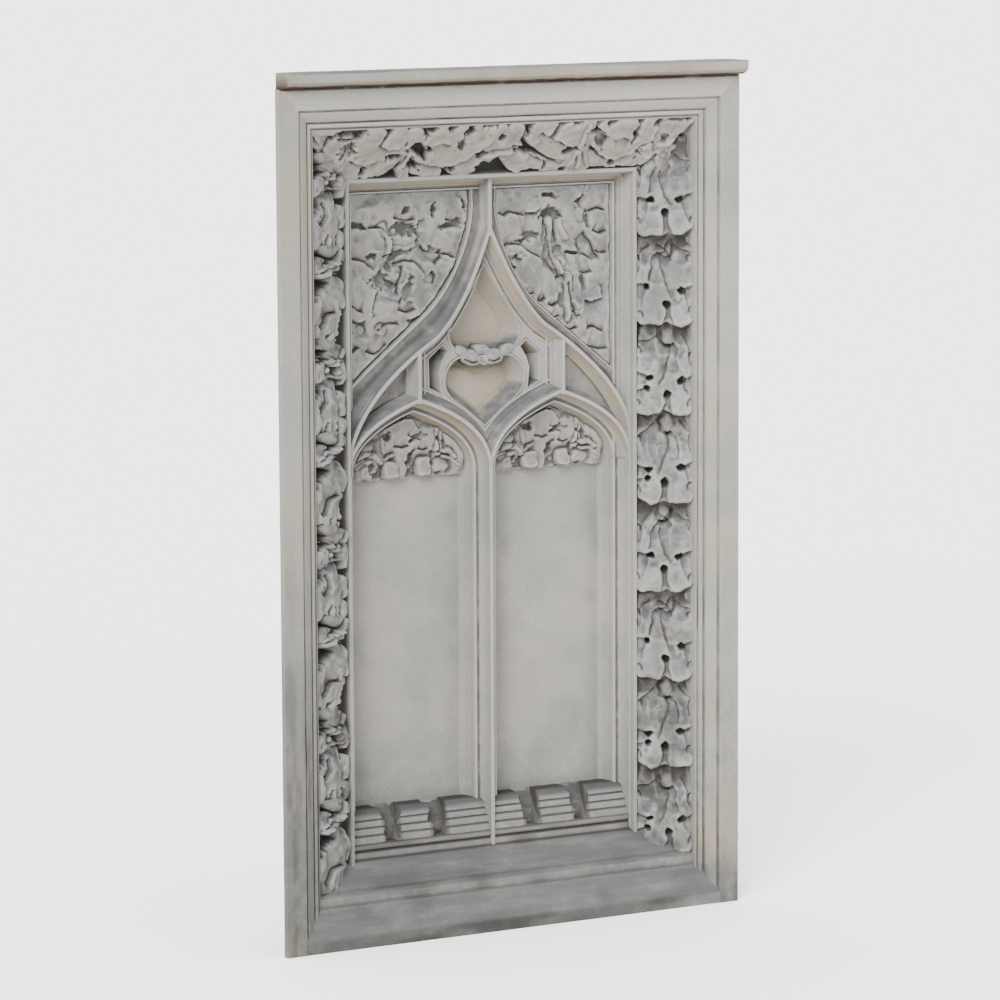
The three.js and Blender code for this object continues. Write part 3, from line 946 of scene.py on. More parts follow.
# Plain fields of the lights
fieldLook = {
    "depth": 150.0, "half": 108.0, "bottom": 214.0, "top": 808.0, "grid": 4.5, "wave": 0.9, "edgeShade": 0.16,
}


def fieldGrimeAndShade(centre):
    def rule(across, height, depth):
        # Painted shade along the edges beside the bars, over stains at random
        edge = np.minimum(98 - np.abs(across - centre), height - 226)
        stains = 0.10 * softNoise(across, height, 85, 25) + 0.08 * softNoise(across, height, 28, 26)
        return np.clip(0.08 + stains + fieldLook["edgeShade"] * smoothStep(34, 0, edge), 0, 1)
    return rule


def makeFields():
    for side, centre in (("Left", -lightHalf), ("Right", lightHalf)):
        xs = centre + np.arange(-fieldLook["half"], fieldLook["half"] + 0.1, fieldLook["grid"])
        zs = np.arange(fieldLook["bottom"], fieldLook["top"], fieldLook["grid"])
        x, z = np.meshgrid(xs, zs)
        depth = fieldLook["depth"] + fieldLook["wave"] * softNoise(x, z, 70, 2)
        depth = depth + 0.25 * softNoise(x, z, 14, 3)
        mesh = closedSheet(f"field{side}", x, z, depth, carvingBack)
        finishPiece(f"field{side}", mesh, limestone, grime=fieldGrimeAndShade(centre))


makeFields()
print("fields made")

# Foliage: one swelling surface with stems, curls, folds and pockets, worked on a grid of heights
def turnedInto(x, z, spot, size, turn):  # places about a spot, in half sizes along its turned axes
    c, s = math.cos(math.radians(turn)), math.sin(math.radians(turn))
    dx, dz = x - spot[0], z - spot[1]
    return (dx * c + dz * s) / size[0], (-dx * s + dz * c) / size[1]


def block(x, z, spot, size, turn, rise, lean):  # a broken stump with nearly flat top and steep sides
    square = 5.0
    u, w = turnedInto(x, z, spot, size, turn)
    q = (np.abs(u) ** square + np.abs(w) ** square) ** (1 / square)
    inner = rise + lean * np.clip(w, -1.2, 1.2) - 0.05 * rise * np.minimum(q, 1.1) ** 2
    return inner - 26 * smoothStep(0.86, 1.12, q)


def pocket(h, x, z, spot, size, floor, turn=0.0, soft=0.25, ragged=0.0):
    u, w = turnedInto(x, z, spot, size, turn)
    q = np.hypot(u, w + ragged * 0.6 * u * u) * (1 + ragged * softNoise(x, z, 6, 77))
    share = smoothStep(1 + soft, 1 - soft, q)
    return h + (np.minimum(h, floor) - h) * share


def slit(h, x, z, points, width, floor):
    away, _, _ = beside(x, z, points)
    share = smoothStep(width, width * 0.45, away)
    return h + (np.minimum(h, floor) - h) * share


# A leaf's edge: the surface steps down on the right of the run, then climbs back
def fold(h, x, z, points, drop=7.0, fade=9.0, lift=1.5):
    away, side, along = beside(x, z, points)
    ends = smoothStep(0, 0.12, along) * smoothStep(1, 0.88, along)
    lower = -drop * smoothStep(-0.2, 1.2, away * side) * np.exp(-away / fade)
    upper = lift * np.exp(-away / (fade * 0.7))
    return h + ends * np.where(side > 0, lower, upper)


def stem(h, x, z, points, radius, rise):
    away, _, _ = beside(x, z, points)
    bump = rise * np.sqrt(np.clip(1 - (away / radius) ** 2, 0, 1))
    groove = -0.45 * rise * np.exp(-((away - radius * 1.15) / (radius * 0.35)) ** 2)
    return h + bump + groove


def curl(h, x, z, spot, radius, rise, turn=0.0):
    dx, dz = x - spot[0], z - spot[1]
    away = np.hypot(dx, dz)
    angle = np.arctan2(dz, dx) + turn
    groove = np.cos(angle + away / radius * 7.5)
    boss = rise * np.clip(1 - (away / radius) ** 2, 0, 1) + 1.6 * groove * smoothStep(1.1, 0.7, away / radius)
    rim = np.exp(-((away - radius * 1.12) / (radius * 0.2)) ** 2) * smoothStep(-0.7, 0.6, np.cos(angle + 2.2))
    return h + boss - 3.2 * rim


def workRelief(x, z, look, seed, base, crumple):
    wx = x + 2.6 * softNoise(x, z, 20, seed + 1) + 0.9 * softNoise(x, z, 9, seed + 2)
    wz = z + 2.6 * softNoise(x, z, 22, seed + 3) + 0.9 * softNoise(x, z, 9.5, seed + 4)
    h = base + crumple * softNoise(x, z, 21, seed + 5) + 0.2 * crumple * softNoise(x, z, 9, seed + 6)
    swell = np.zeros(x.shape)
    for across, height, width, length, turn, lean in look["pads"]:
        u, w = turnedInto(wx, wz, (across, height), (width, length), turn)
        bulge = (1 + 0.06 * lean * np.clip(w, -1.2, 1.2)) * np.exp(-0.8 * (u * u + w * w))
        swell = np.maximum(swell, bulge)
    h = h + look["swell"] * swell
    if "mass" in look:  # stands up from the ground with an edge of its own
        h = h + look["mass"] * smoothStep(*look["rim"], swell)
    for across, height, width, length, turn, rise, lean in look.get("blocks", ()):
        h = softMax(h, block(wx, wz, (across, height), (width, length), turn, rise, lean), 0.8)
    ridges = 1 - np.abs(softNoise(wx * 0.9 + wz * 0.5, wz * 0.9 - wx * 0.4, 17, seed + 9)) * 2.6
    h = h + 0.3 * crumple * softNoise(x, z, 13, seed + 7) + 0.1 * crumple * softNoise(x, z, 5, seed + 8)
    h = h + look.get("ridge", 0.5) * crumple * ridges
    for points, radius, rise in look.get("stems", ()):
        h = stem(h, wx, wz, points, radius, rise)
    for across, height, radius, rise in look.get("curls", ()):
        h = curl(h, x, z, (across, height), radius, rise, across * 0.3)
    for points in look["folds"]:
        h = fold(h, wx, wz, points, look.get("drop", 8.5), look.get("fade", 12.0), 2.5)
        away, side, along = beside(wx, wz, points)
        line = np.exp(-((away - 1.0) / 1.5) ** 2) * (side > 0)
        h = h - 3.0 * line * smoothStep(0, 0.15, along) * smoothStep(1, 0.85, along)
    for across, height, width, length, turn, left in look["pockets"]:
        h = pocket(h, wx, wz, (across, height), (width, length), left, turn, look.get("soft", 0.3), 0.45)
    return h


# Hanging vine leaf, worked about its own middle line and laid along the border
leafLook = {
    "halfWidth": 55.0, "start": -24.0, "end": 158.0, "grid": 1.5, "ground": -33.0, "kinds": 8, "reach": 52.0,
    "warp": 2.8, "crumple": 2.0, "knob": (11.5, 15.5), "knobRise": 7.0, "eye": (27, 83),
    "eyeSize": (5.8, 5.2), "midEye": 109, "midEyeSize": (6.4, 7.2), "channel": 5.2,
}


def leafHeight(a, v, kind):
    chance = np.random.default_rng(60 + kind)
    look = leafLook
    bend = 1 if kind % 2 else -1
    sway = 5 * math.sin(kind * 1.9) * np.sin(v / 46 + kind)
    wa = a + sway + look["warp"] * softNoise(a, v, 24, 71 + kind) + 1.2 * softNoise(a, v, 9, 81 + kind)
    wv = v + look["warp"] * softNoise(a, v, 27, 91 + kind) + 1.2 * softNoise(a, v, 9.5, 95 + kind)
    h = -10 + 9.5 * smoothStep(-10, 60, wv) + 2.5 * smoothStep(84, 140, wv)
    rough = 1 + 0.9 * smoothStep(84, 20, wv)
    for side in (-1, 1):  # full lobes, two above the slits and two below
        h = h + 6.0 * np.exp(-((wa - side * 25) / 20) ** 2 - ((wv - 122) / 25) ** 2)
        h = h + 5.0 * np.exp(-((wa - side * 29) / 18) ** 2 - ((wv - 62) / 22) ** 2)
    ridges = 1 - np.abs(softNoise(wa * 1.6 + wv * 0.3 * bend, wv * 0.8, 24, 41 + kind)) * 2.4
    h = h + rough * (look["crumple"] * softNoise(a, v, 21, 51 + kind) + 1.5 * ridges)
    h = h + rough * (0.8 * softNoise(a, v, 8, 55 + kind) + 0.3 * softNoise(a, v, 4, 57 + kind))
    # creases run down one side from the stalk, with a bent middle vein beside them
    j = chance.uniform(-1, 1, 16)
    near = [(-bend * 6, 14), (-bend * (20 + 3 * j[0]), 30), (-bend * (27 + 3 * j[1]), 72)]
    far = [(-bend * 22, 2), (-bend * (40 + 3 * j[2]), 24), (-bend * 45, 60)]
    h = fold(h, wa, wv, near if bend > 0 else near[::-1], 5.5, 11, 1.5)
    h = fold(h, wa, wv, far if bend < 0 else far[::-1], 5.0, 9, 1.5)
    shoulder = [(bend * 16, 4), (bend * (34 + 4 * j[2]), 16), (bend * 54, 22)]
    h = fold(h, wa, wv, shoulder if bend < 0 else shoulder[::-1], 5.0, 12, 1.0)
    middle = (4 * j[3], look["midEye"] + 5 * j[4])
    vein = [(-5 * bend, 20), (-8 * bend, 44), (0, 74), (11 * bend, 98)]
    away, _, along = beside(wa, wv, vein)
    h = fold(h, wa, wv, vein if bend > 0 else vein[::-1], 4.0, 14, 2.0)
    h = h - 1.6 * np.exp(-(away / 2.4) ** 2) * smoothStep(1, 0.7, along)
    # knob of the stalk, with a hollow under one side
    kx, kv, (kw, kl) = wa - 4 * j[5], wv - 6 - 3 * j[6], look["knob"]
    q = np.hypot(kx / kw, kv / kl) * (1 + 0.12 * softNoise(a, v, 9, 67 + kind))
    low = smoothStep(-0.5, 0.9, np.cos(np.arctan2(kv, kx * bend) - 0.7))
    h = h - (1 + 6 * low) * np.exp(-((q - 1.22) / 0.24) ** 2)
    boss = look["knobRise"] * np.sqrt(np.clip(1.05 - q ** 2, 0, 1)) + 1.3 * softNoise(a, v, 7, 68 + kind)
    h = np.where((q < 1.05) & (kind != 1), np.maximum(h, -9 + boss), h)
    if kind % 2:  # two folded stalk ends that cross
        h = fold(h, wa, wv, [(16, 32), (5, 13), (-15, 2)], 6.0, 9, 2.0)
        h = fold(h, wa, wv, [(13, -3), (0, 16), (-16, 27)], 5.0, 8, 2.0)
    for side in (-1, 1):
        # the upper lobe ends over a slit that runs in to a drilled eye
        eye = (side * (look["eye"][0] + 3.5 * j[6 + side]), look["eye"][1] + 5 * j[9 + side])
        out = [(side * 58, eye[1] - 5 + 4 * j[11]), (side * 42, eye[1] - 4 + 2 * j[12]), eye]
        h = fold(h, wa, wv, out if side > 0 else out[::-1], 10.5, 24, 2.5)
        h = slit(h, wa, wv, out, 2.8, -6)
        h = pocket(h, wa, wv, eye, look["eyeSize"], -17, 0, 0.4, 0.3)
        # small curls at the edge
        for hook in ((side * 48, 124 + 8 * j[13 + side]), (side * 49, 36 + 8 * j[14])):
            away = np.hypot(wa - hook[0], wv - hook[1])
            around = np.arctan2(wv - hook[1], (wa - hook[0]) * side)
            h = h - 5.5 * np.exp(-((away - 5.4) / 1.9) ** 2) * smoothStep(-0.3, 0.6, -np.cos(around - 0.7))
    if kind % 2 == 0:  # a second slit lower down on one side
        extra = [(bend * 58, 103), (bend * 30, 101 + 3 * j[15])]
        h = fold(h, wa, wv, extra[::-1] if bend < 0 else extra, 6.0, 9, 1.5)
        h = pocket(h, wa, wv, extra[1], (6.4, 4.8), -16, 0, 0.4, 0.3)
    # middle eye and the channel from it to the lower edge
    foot = (middle[0] + 3 * j[6], 172)
    away, _, _ = beside(wa, wv, [middle, foot])
    wide = look["channel"] + 0.02 * (wv - middle[1]) + 5 * smoothStep(126, 148, wv)
    h = h - 7.0 * smoothStep(wide, wide - 2.0, away)
    h = h + 1.6 * np.exp(-((away - wide - 2.5) / 2.2) ** 2) * (wv > middle[1])
    h = pocket(h, wa, wv, middle, look["midEyeSize"], -17, 0, 0.4, 0.2)
    # two rounded lobes along the lower edge, one of them cut back
    lobe = 8.5 * np.sqrt(np.clip(1 - ((np.abs(wa) - 26) / 28) ** 2, 0, 1))
    lobe = lobe + 1.8 * softNoise(a, a * 0, 14, 61 + kind)
    lip = 138.5 + lobe - 11 * smoothStep(26, 54, wa * bend) * (kind > 1)
    h = h + 2.0 * np.exp(-np.maximum(lip - wv, 0) / 6) - 2.6 * smoothStep(3.5, 0, lip - wv)
    h = h - 70 * smoothStep(-0.2, 2.6, wv - lip)
    side = look["reach"] + 1.2 * softNoise(v, v * 0, 13, 63 + kind) - 4 * smoothStep(10, -15, v)
    h = h - 3.5 * smoothStep(side - 7, side, np.abs(a))
    return np.maximum(h - 60 * smoothStep(-0.2, 2.6, np.abs(a) - side), look["ground"])


# Rounder leaves of the left border: one full lobe, with curls and stalks above it
lobeWork = {"swell": 6.0, "mass": 21.0, "rim": (0.27, 0.52), "ridge": 0.5, "drop": 7.0, "fade": 16.0}
lobeForms = (
    {
        **lobeWork,
        "pads": [
            (14, 66, 35, 46, 14, 3), (-6, 118, 34, 34, 24, 3), (-34, 84, 16, 26, 0, 0),
            (-24, 14, 24, 20, 10, 0), (24, 4, 24, 16, -20, 0), (0, -14, 34, 12, 12, 0),
        ],
        "stems": [(((-44, 30), (-16, 24), (10, 8)), 6, 5), (((30, -14), (12, 6), (-22, 12)), 5, 5)],
        "folds": [((40, 30), (10, 22), (-14, 34), (-24, 54)), ((-30, 120), (-6, 96), (22, 92))],
        "curls": [(-30, 22, 12, 6)],
        "pockets": [
            (-22, 46, 17, 9, -18, -20), (38, 16, 12, 8, 20, -22), (-8, 6, 7, 5, 0, -20),
            (34, 116, 12, 18, 30, -22), (-44, 58, 8, 12, 0, -22), (-14, 142, 3.4, 14, 8, -18),
            (10, 142, 3.4, 10, -8, -18), (-40, 138, 9, 9, 0, -22),
        ],
    },
    {
        **lobeWork,
        "pads": [
            (0, 84, 32, 54, 4, 3), (34, 34, 18, 24, -20, 0), (-32, 30, 20, 24, 20, 0),
            (38, 88, 14, 24, 0, 0), (-38, 108, 14, 32, 0, 0), (8, 6, 32, 20, -14, 0),
            (28, 128, 20, 18, 0, 0), (-10, -14, 32, 12, 14, 0),
        ],
        "stems": [(((-44, 0), (-16, 12), (20, 34)), 6, 5), (((40, -6), (22, 14), (-14, 30)), 5, 5)],
        "folds": [((36, 62), (20, 44), (-8, 42), (-28, 58)), ((-26, 104), (-10, 84), (-12, 60))],
        "pockets": [
            (22, 18, 10, 6, 20, -22), (-30, 12, 12, 6, -20, -22), (24, 62, 5, 12, 10, -20),
            (-26, 62, 5, 14, -10, -20), (26, 104, 5, 9, 0, -20), (-12, 132, 3.4, 16, 6, -22),
            (4, 136, 3.2, 14, -4, -22), (20, 134, 3.4, 12, 0, -22), (-44, 70, 8, 10, 0, -22),
            (44, 64, 8, 8, 0, -22),
        ],
    },
)


def lobeHeight(a, v, kind):
    look = leafLook
    h = workRelief(a, v, lobeForms[kind % 2], 300 + 7 * kind, -24, 1.7)
    side = look["reach"] + 1.6 * softNoise(v, v * 0, 13, 63 + kind)
    h = h - 3.5 * smoothStep(side - 7, side, np.abs(a)) - 70 * smoothStep(150, 153, v)
    return np.maximum(h - 60 * smoothStep(-0.2, 2.6, np.abs(a) - side), look["ground"])


# Painted shade: dark in the deep eyes and slits, and under the lip of the leaf above
def leafPaintedShade(h, down):
    under = 0.55 * smoothStep(64, 0, down) * smoothStep(8, -10, h) + 0.25 * smoothStep(24, 0, down)
    return np.maximum(0.88 * smoothStep(-9, -20, h), under)


def makeLeafObject(kind):
    look = leafLook
    xs = np.arange(-look["halfWidth"], look["halfWidth"] + 0.1, look["grid"])
    vs = np.arange(look["start"], look["end"] + 0.1, look["grid"])
    a, v = np.meshgrid(xs, -vs[::-1])
    h = leafHeight(a, -v, kind) if kind < 4 else lobeHeight(a, -v, kind)
    keep = np.maximum.reduce([h[:-1, :-1], h[:-1, 1:], h[1:, :-1], h[1:, 1:]]) > look["ground"] + 4
    keep = largestPatch(keep)
    mesh = closedSheet(f"leafForm{kind}", a, v, -h, 34, keep)
    across, height, depth = panelSpots(mesh)
    setAttribute(mesh, "grime", leafPaintedShade(-depth, -height))
    spots = np.stack([across, depth, height + 75], 1) * mm  # its own middle at the origin
    mesh.vertices.foreach_set("co", spots.ravel())
    addCavity(mesh, 5, 2.5)
    return bpy.data.objects.new(f"leafForm{kind}", mesh)


# The one connected patch of cells that holds most of the shape, with its holes filled
def largestPatch(keep):
    rows, columns = keep.shape
    seen = np.zeros(keep.shape, bool)
    best = seen
    for i, j in zip(*np.nonzero(keep)):
        if seen[i, j]:
            continue
        patch, edge = [], [(i, j)]
        seen[i, j] = True
        while edge:
            r, c = edge.pop()
            patch.append((r, c))
            for r2, c2 in ((r + 1, c), (r - 1, c), (r, c + 1), (r, c - 1)):
                if 0 <= r2 < rows and 0 <= c2 < columns and keep[r2, c2] and not seen[r2, c2]:
                    seen[r2, c2] = True
                    edge.append((r2, c2))
        if len(patch) > best.sum():
            best = np.zeros(keep.shape, bool)
            best[tuple(np.array(patch).T)] = True
    around = np.zeros((rows + 2, columns + 2), bool)
    around[1:-1, 1:-1] = best
    outer = np.zeros(around.shape, bool)
    edge = [(0, 0)]
    outer[0, 0] = True
    while edge:
        r, c = edge.pop()
        for r2, c2 in ((r + 1, c), (r - 1, c), (r, c + 1), (r, c - 1)):
            if 0 <= r2 < rows + 2 and 0 <= c2 < columns + 2 and not around[r2, c2] and not outer[r2, c2]:
                outer[r2, c2] = True
                edge.append((r2, c2))
    return ~outer[1:-1, 1:-1]


def makeLeafTree():
    kinds = [(f"Leaf {k + 1}", "NodeSocketObject", None) for k in range(leafLook["kinds"])]
    tree, given, result = newGeometryTree("hangingLeaves", kinds + [
        ("Drift", "NodeSocketFloat", 0.004), ("Drift Size", "NodeSocketFloat", 14.0),
        ("Seed", "NodeSocketInt", 2), ("Material", "NodeSocketMaterial", None),
    ])
    gathered = tree.nodes.new("GeometryNodeGeometryToInstance")
    for k in reversed(range(leafLook["kinds"])):
        info = addNode(tree, "GeometryNodeObjectInfo", {"Object": given.outputs[f"Leaf {k + 1}"]})
        tree.links.new(info.outputs["Geometry"], gathered.inputs[0])
    names = {}
    for label, kind in (("kind", "INT"), ("turn", "FLOAT_VECTOR"), ("reach", "FLOAT_VECTOR")):
        read = addNode(tree, "GeometryNodeInputNamedAttribute", {"Name": label}, data_type=kind)
        names[label] = next(o for o in read.outputs if o.enabled and o.name == "Attribute")
    copies = addNode(tree, "GeometryNodeInstanceOnPoints", {
        "Points": given.outputs["Geometry"], "Instance": gathered.outputs[0], "Pick Instance": True,
        "Instance Index": names["kind"], "Rotation": names["turn"], "Scale": names["reach"],
    })
    realized = addNode(tree, "GeometryNodeRealizeInstances", {"Geometry": copies.outputs[0]})
    drift, size, seed = (given.outputs[label] for label in ("Drift", "Drift Size", "Seed"))
    addMaterial(tree, addDrift(tree, realized.outputs[0], drift, size, seed, 1.0), given, result)
    return tree


borderLook = {
    "middle": 335.0, "tilt": 28.7, "depth": 55.0, "pitch": 161.0, "lowest": 163.0, "count": 8,
    "drift": 4.0, "driftSize": 13.0, "cover": 4.0, "share": 1.02,
    # the lowest leaf is set this much lower, at this share of its length; corner: across, turn, share, kind
    "Left": {
        "kinds": (4, 5, 6, 7, 4, 5, 6, 7), "relief": 1.5, "lowest": (8, 1.08), "corner": (-340, -40, 0.74, 2),
    },
    "Right": {
        "kinds": (0, 2, 1, 3, 2, 0, 1, 3), "relief": 1.1, "lowest": (0, 0.95), "corner": (340, 40, 0.74, 1),
    },
}


def layLeaves(name, spots):
    host = bpy.data.meshes.new(name)
    host.from_pydata([s[0] for s in spots], [], [])
    for label, kind, size, values in (
        ("kind", "INT", "value", [s[1] for s in spots]),
        ("turn", "FLOAT_VECTOR", "vector", [c for s in spots for c in s[2]]),
        ("reach", "FLOAT_VECTOR", "vector", [c for s in spots for c in s[3]]),
    ):
        host.attributes.new(label, kind, "POINT").data.foreach_set(size, values)
    values = {f"Leaf {k + 1}": leaf for k, leaf in enumerate(leafObjects)}
    drift, size = borderLook["drift"] * mm, borderLook["driftSize"]
    values.update({"Drift": drift, "Drift Size": size, "Seed": 2, "Material": carvedStone})
    mesh = bakeTree(bpy.data.objects.new(name, host), leafTree, values)
    grimeLayer = np.empty(len(mesh.vertices), np.float32)
    mesh.attributes["grime"].data.foreach_get("value", grimeLayer)
    across, height, depth = panelSpots(mesh)
    flank = flankAt(depth) - borderLook["cover"]
    moveSpots(mesh, np.clip(across, -flank, flank), height, depth)  # the corner leaves stay inside the block
    clouds = softNoise(across, height, 26, 9) + 0.4 * softNoise(across, height, 9, 10)
    low = smoothStep(800, 150, height)
    clouded = (0.34 + 0.3 * low) * smoothStep(-0.35 - 0.3 * low, 0.8, clouds)
    # the leaves' painted shade, with clouds of dirt heavier low down
    grimeLayer = np.maximum(grimeLayer, 0.10 * grimeLayer + clouded)
    finishPiece(name, mesh, carvedStone, crease=60, broad=60)
    setAttribute(mesh, "grime", grimeLayer)


def leafSpot(across, height, turn, tilt, share, kind, top=False, relief=1.0):
    turned = Matrix.Rotation(math.radians(-turn), 4, "Y")
    tilted = Matrix.Rotation(math.radians(tilt), 4, "X" if top else "Z")
    angles = (tilted @ turned).to_euler("XYZ")
    spot = place(across, height, borderLook["depth"])
    return tuple(spot), kind, tuple(angles), (1.0, relief, share)


def makeBorderLeaves():
    look = borderLook
    for side, sign in (("Left", -1), ("Right", 1)):
        form = look[side]
        spots = []
        for number in range(look["count"]):
            lowered, share = form["lowest"] if number == 0 else (0, look["share"])
            height = look["lowest"] + look["pitch"] * number - lowered
            sway = 3 * math.sin(number * 2.1)
            spots.append(leafSpot(sign * look["middle"], height, sway, -sign * look["tilt"], share,
                                  form["kinds"][number], relief=form["relief"]))
        across, turn, share, kind = form["corner"]
        middle = panelHeight + frameLook["topShift"] - panelHalf + look["middle"]
        spots.append(leafSpot(across, middle, turn, look["tilt"] * 0.7, share, kind, True))
        layLeaves(f"leaves{side}", spots)


leafObjects = [makeLeafObject(kind) for kind in range(leafLook["kinds"])]
leafTree = makeLeafTree()
for leafObject in leafObjects:
    scene.collection.objects.link(leafObject)
makeBorderLeaves()
for leafObject in leafObjects:
    bpy.data.objects.remove(leafObject)
print("border leaves made")

# The leaves of the top border run sideways, worked in the plane of the slanting band:
# across, then up from its lower edge
topLook = {
    "ground": -30.0, "grid": 1.5, "inner": (290.5, 83.0), "outer": (381.0, 25.0), "base": -22.0, "back": 33,
}
topFoliage = {
    "swell": 3.5, "mass": 24.0, "rim": (0.10, 0.24), "drop": 8.0, "fade": 12.0,
    "pads": [
        (-352, 74, 34, 34, 0, 0), (-300, 52, 34, 34, 0, 0), (-320, 24, 24, 14, 30, 0),
        (-245, 62, 36, 28, 0, 0), (-204, 66, 26, 26, 0, 0), (-258, 92, 16, 14, 0, 0),
        (-212, 90, 14, 18, 0, 0), (-178, 88, 15, 13, 0, 0), (-286, 30, 28, 10, 34, 0),
        (-281, 9, 14, 8, 0, 0), (-224, 23, 28, 11, 26, 0), (-184, 22, 9, 26, 18, 0),
        (-107, 54, 48, 28, 0, 0), (-128, 95, 17, 10, 0, 0), (-87, 88, 11, 22, 0, 0),
        (-53, 86, 14, 24, 0, 0), (-34, 66, 26, 16, 42, 0), (-15, 92, 14, 15, 0, 0), (-128, 12, 28, 8, 0, 0),
        (-70, 20, 20, 8, 28, 0), (19, 88, 12, 16, 0, 0), (6, 56, 24, 12, 10, 0), (80, 82, 26, 22, 0, 0),
        (112, 62, 42, 22, -22, 0), (134, 82, 18, 18, 0, 0), (38, 30, 30, 12, -24, 0),
        (84, 20, 26, 11, -22, 0), (122, 12, 18, 10, 0, 0), (165, 58, 14, 46, 0, 0), (166, 16, 22, 18, 0, 0),
        (240, 58, 44, 32, 0, 0), (238, 96, 17, 11, 0, 0), (290, 82, 14, 24, 0, 0), (319, 80, 13, 22, 0, 0),
        (204, 22, 24, 13, 0, 0), (256, 12, 26, 9, 0, 0), (332, 50, 28, 14, 18, 0), (358, 82, 26, 22, 0, 0),
        (-62, 12, 20, 10, 10, 0), (52, 14, 20, 11, -10, 0), (-30, 40, 18, 14, 30, 0),
        (308, 22, 24, 14, -30, 0), (205, 74, 16, 26, 0, 0),
    ],
    "stems": [
        (((-26, 40), (10, 46), (32, 54)), 7, 5), (((164, 98), (161, 60), (166, 8)), 5, 4),
        (((160, 50), (146, 10)), 4, 3), (((168, 50), (188, 10)), 4, 3),
        (((318, 50), (346, 58), (376, 72)), 5, 4), (((-190, 46), (-186, 4)), 4, 3),
    ],
    "folds": [
        ((-180, 45), (-143, 29), (-98, 21), (-68, 34), (-41, 54), (-11, 80)),
        ((-182, 48), (-192, 26), (-200, 4)),
        ((173, 58), (203, 33), (235, 24), (267, 34), (283, 53), (320, 68)),
        ((60, 42), (100, 28), (140, 22)), ((-276, 88), (-300, 81), (-335, 88)),
        ((-330, 40), (-296, 44), (-262, 30), (-236, 38)), ((70, 92), (96, 72), (146, 56)),
        ((-345, 100), (-350, 70), (-338, 40)), ((20, 66), (52, 60), (76, 70)),
        ((300, 60), (310, 84), (306, 104)), ((-246, 74), (-226, 64), (-206, 66)),
        ((-140, 66), (-118, 74), (-100, 70)), ((222, 66), (240, 74), (262, 66)),
    ],
    "pockets": [
        (-304, 64, 16, 13, 20, -14), (-306, 98, 28, 8, 0, -20), (-233, 90, 3.6, 15, -25, -16),
        (-149, 100, 10, 9, 0, -24), (-209, 47, 12, 6.5, 0, -18), (-160, 58, 20, 11, -38, -21),
        (-314, 22, 9, 5, 20, -19), (-301, 2, 10, 4, 0, -22), (-262, 16, 6, 6, 0, -20),
        (-238, 2, 10, 4, 0, -22), (-168, 26, 15, 7, -20, -19), (-104, 104, 8, 7, 0, -22),
        (-80, 70, 6.5, 14, 0, -8), (-70, 102, 9, 10, 0, -22), (-32, 105, 10, 5, 0, -22),
        (-4, 78, 7, 6, 0, -19), (-95, 14, 9, 7, 20, -22), (-37, 47, 10, 7.5, 0, -19),
        (-26, 16, 14, 8, 10, -24), (46, 98, 5, 13, 0, -20), (45, 53, 14, 6, -15, -20),
        (103, 88, 5, 18, -18, -16), (136, 103, 7, 6, 0, -22), (75, 3, 18, 5, 0, -24),
        (99, 15, 4, 9, 0, -20), (137, 4, 8, 5, 0, -22), (142, 47, 14, 5.5, 22, -20),
        (184, 87, 13, 6.5, 0, -20), (198, 66, 11, 14, 0, -9), (190, 42, 9, 4, -25, -18),
        (213, 102, 9, 7, 0, -22), (267, 86, 4.5, 20, 5, -15), (306, 101, 7, 7, 0, -22),
        (232, 16, 7, 5, 0, -20), (290, 38, 9, 8.5, 0, -22), (328, 63, 8, 8, 0, -10),
        (222, 0, 20, 4, 0, -22), (352, 40, 4.5, 4.5, 0, -18), (262, 1, 18, 3.4, 0, -22),
        (344, 104, 24, 4, 0, -20),
    ],
}


def makeTopLeaves():
    look = topLook
    (innerReach, innerDepth), (outerReach, outerDepth) = look["inner"], look["outer"]
    length = math.hypot(outerReach - innerReach, innerDepth - outerDepth)
    rise, lean = (outerReach - innerReach) / length, (innerDepth - outerDepth) / length
    s, t = np.meshgrid(np.arange(-384, 384.1, look["grid"]), np.arange(-2, length + 1, look["grid"]))
    h = workRelief(s, t, topFoliage, 600, look["base"], 1.7)
    h = np.clip(h, look["ground"], 11)
    cells = np.abs(s) < innerReach + (outerReach - innerReach) * t / length + 5
    mesh = closedSheet("leavesTop", s, t, -h, look["back"], largestPatch(fullCells(cells)))
    across, along, down = panelSpots(mesh)
    base = panelHeight + frameLook["topShift"] - panelHalf
    # Painted shade where the leaves sink towards the ground, over a little mottling
    dirtAndShade = 0.85 * smoothStep(8, 25, down) * (down < 32) + 0.1 * softNoise(across, along, 40, 611)
    height = base + innerReach + along * rise + down * lean
    moveSpots(mesh, across, height, innerDepth - along * lean + down * rise)
    tidyNormals(mesh)
    finishPiece("leavesTop", mesh, carvedStone, crease=60, broad=50, ochre=lambda a, b, d: 0.5 + 0 * d)
    setAttribute(mesh, "grime", dirtAndShade)


makeTopLeaves()

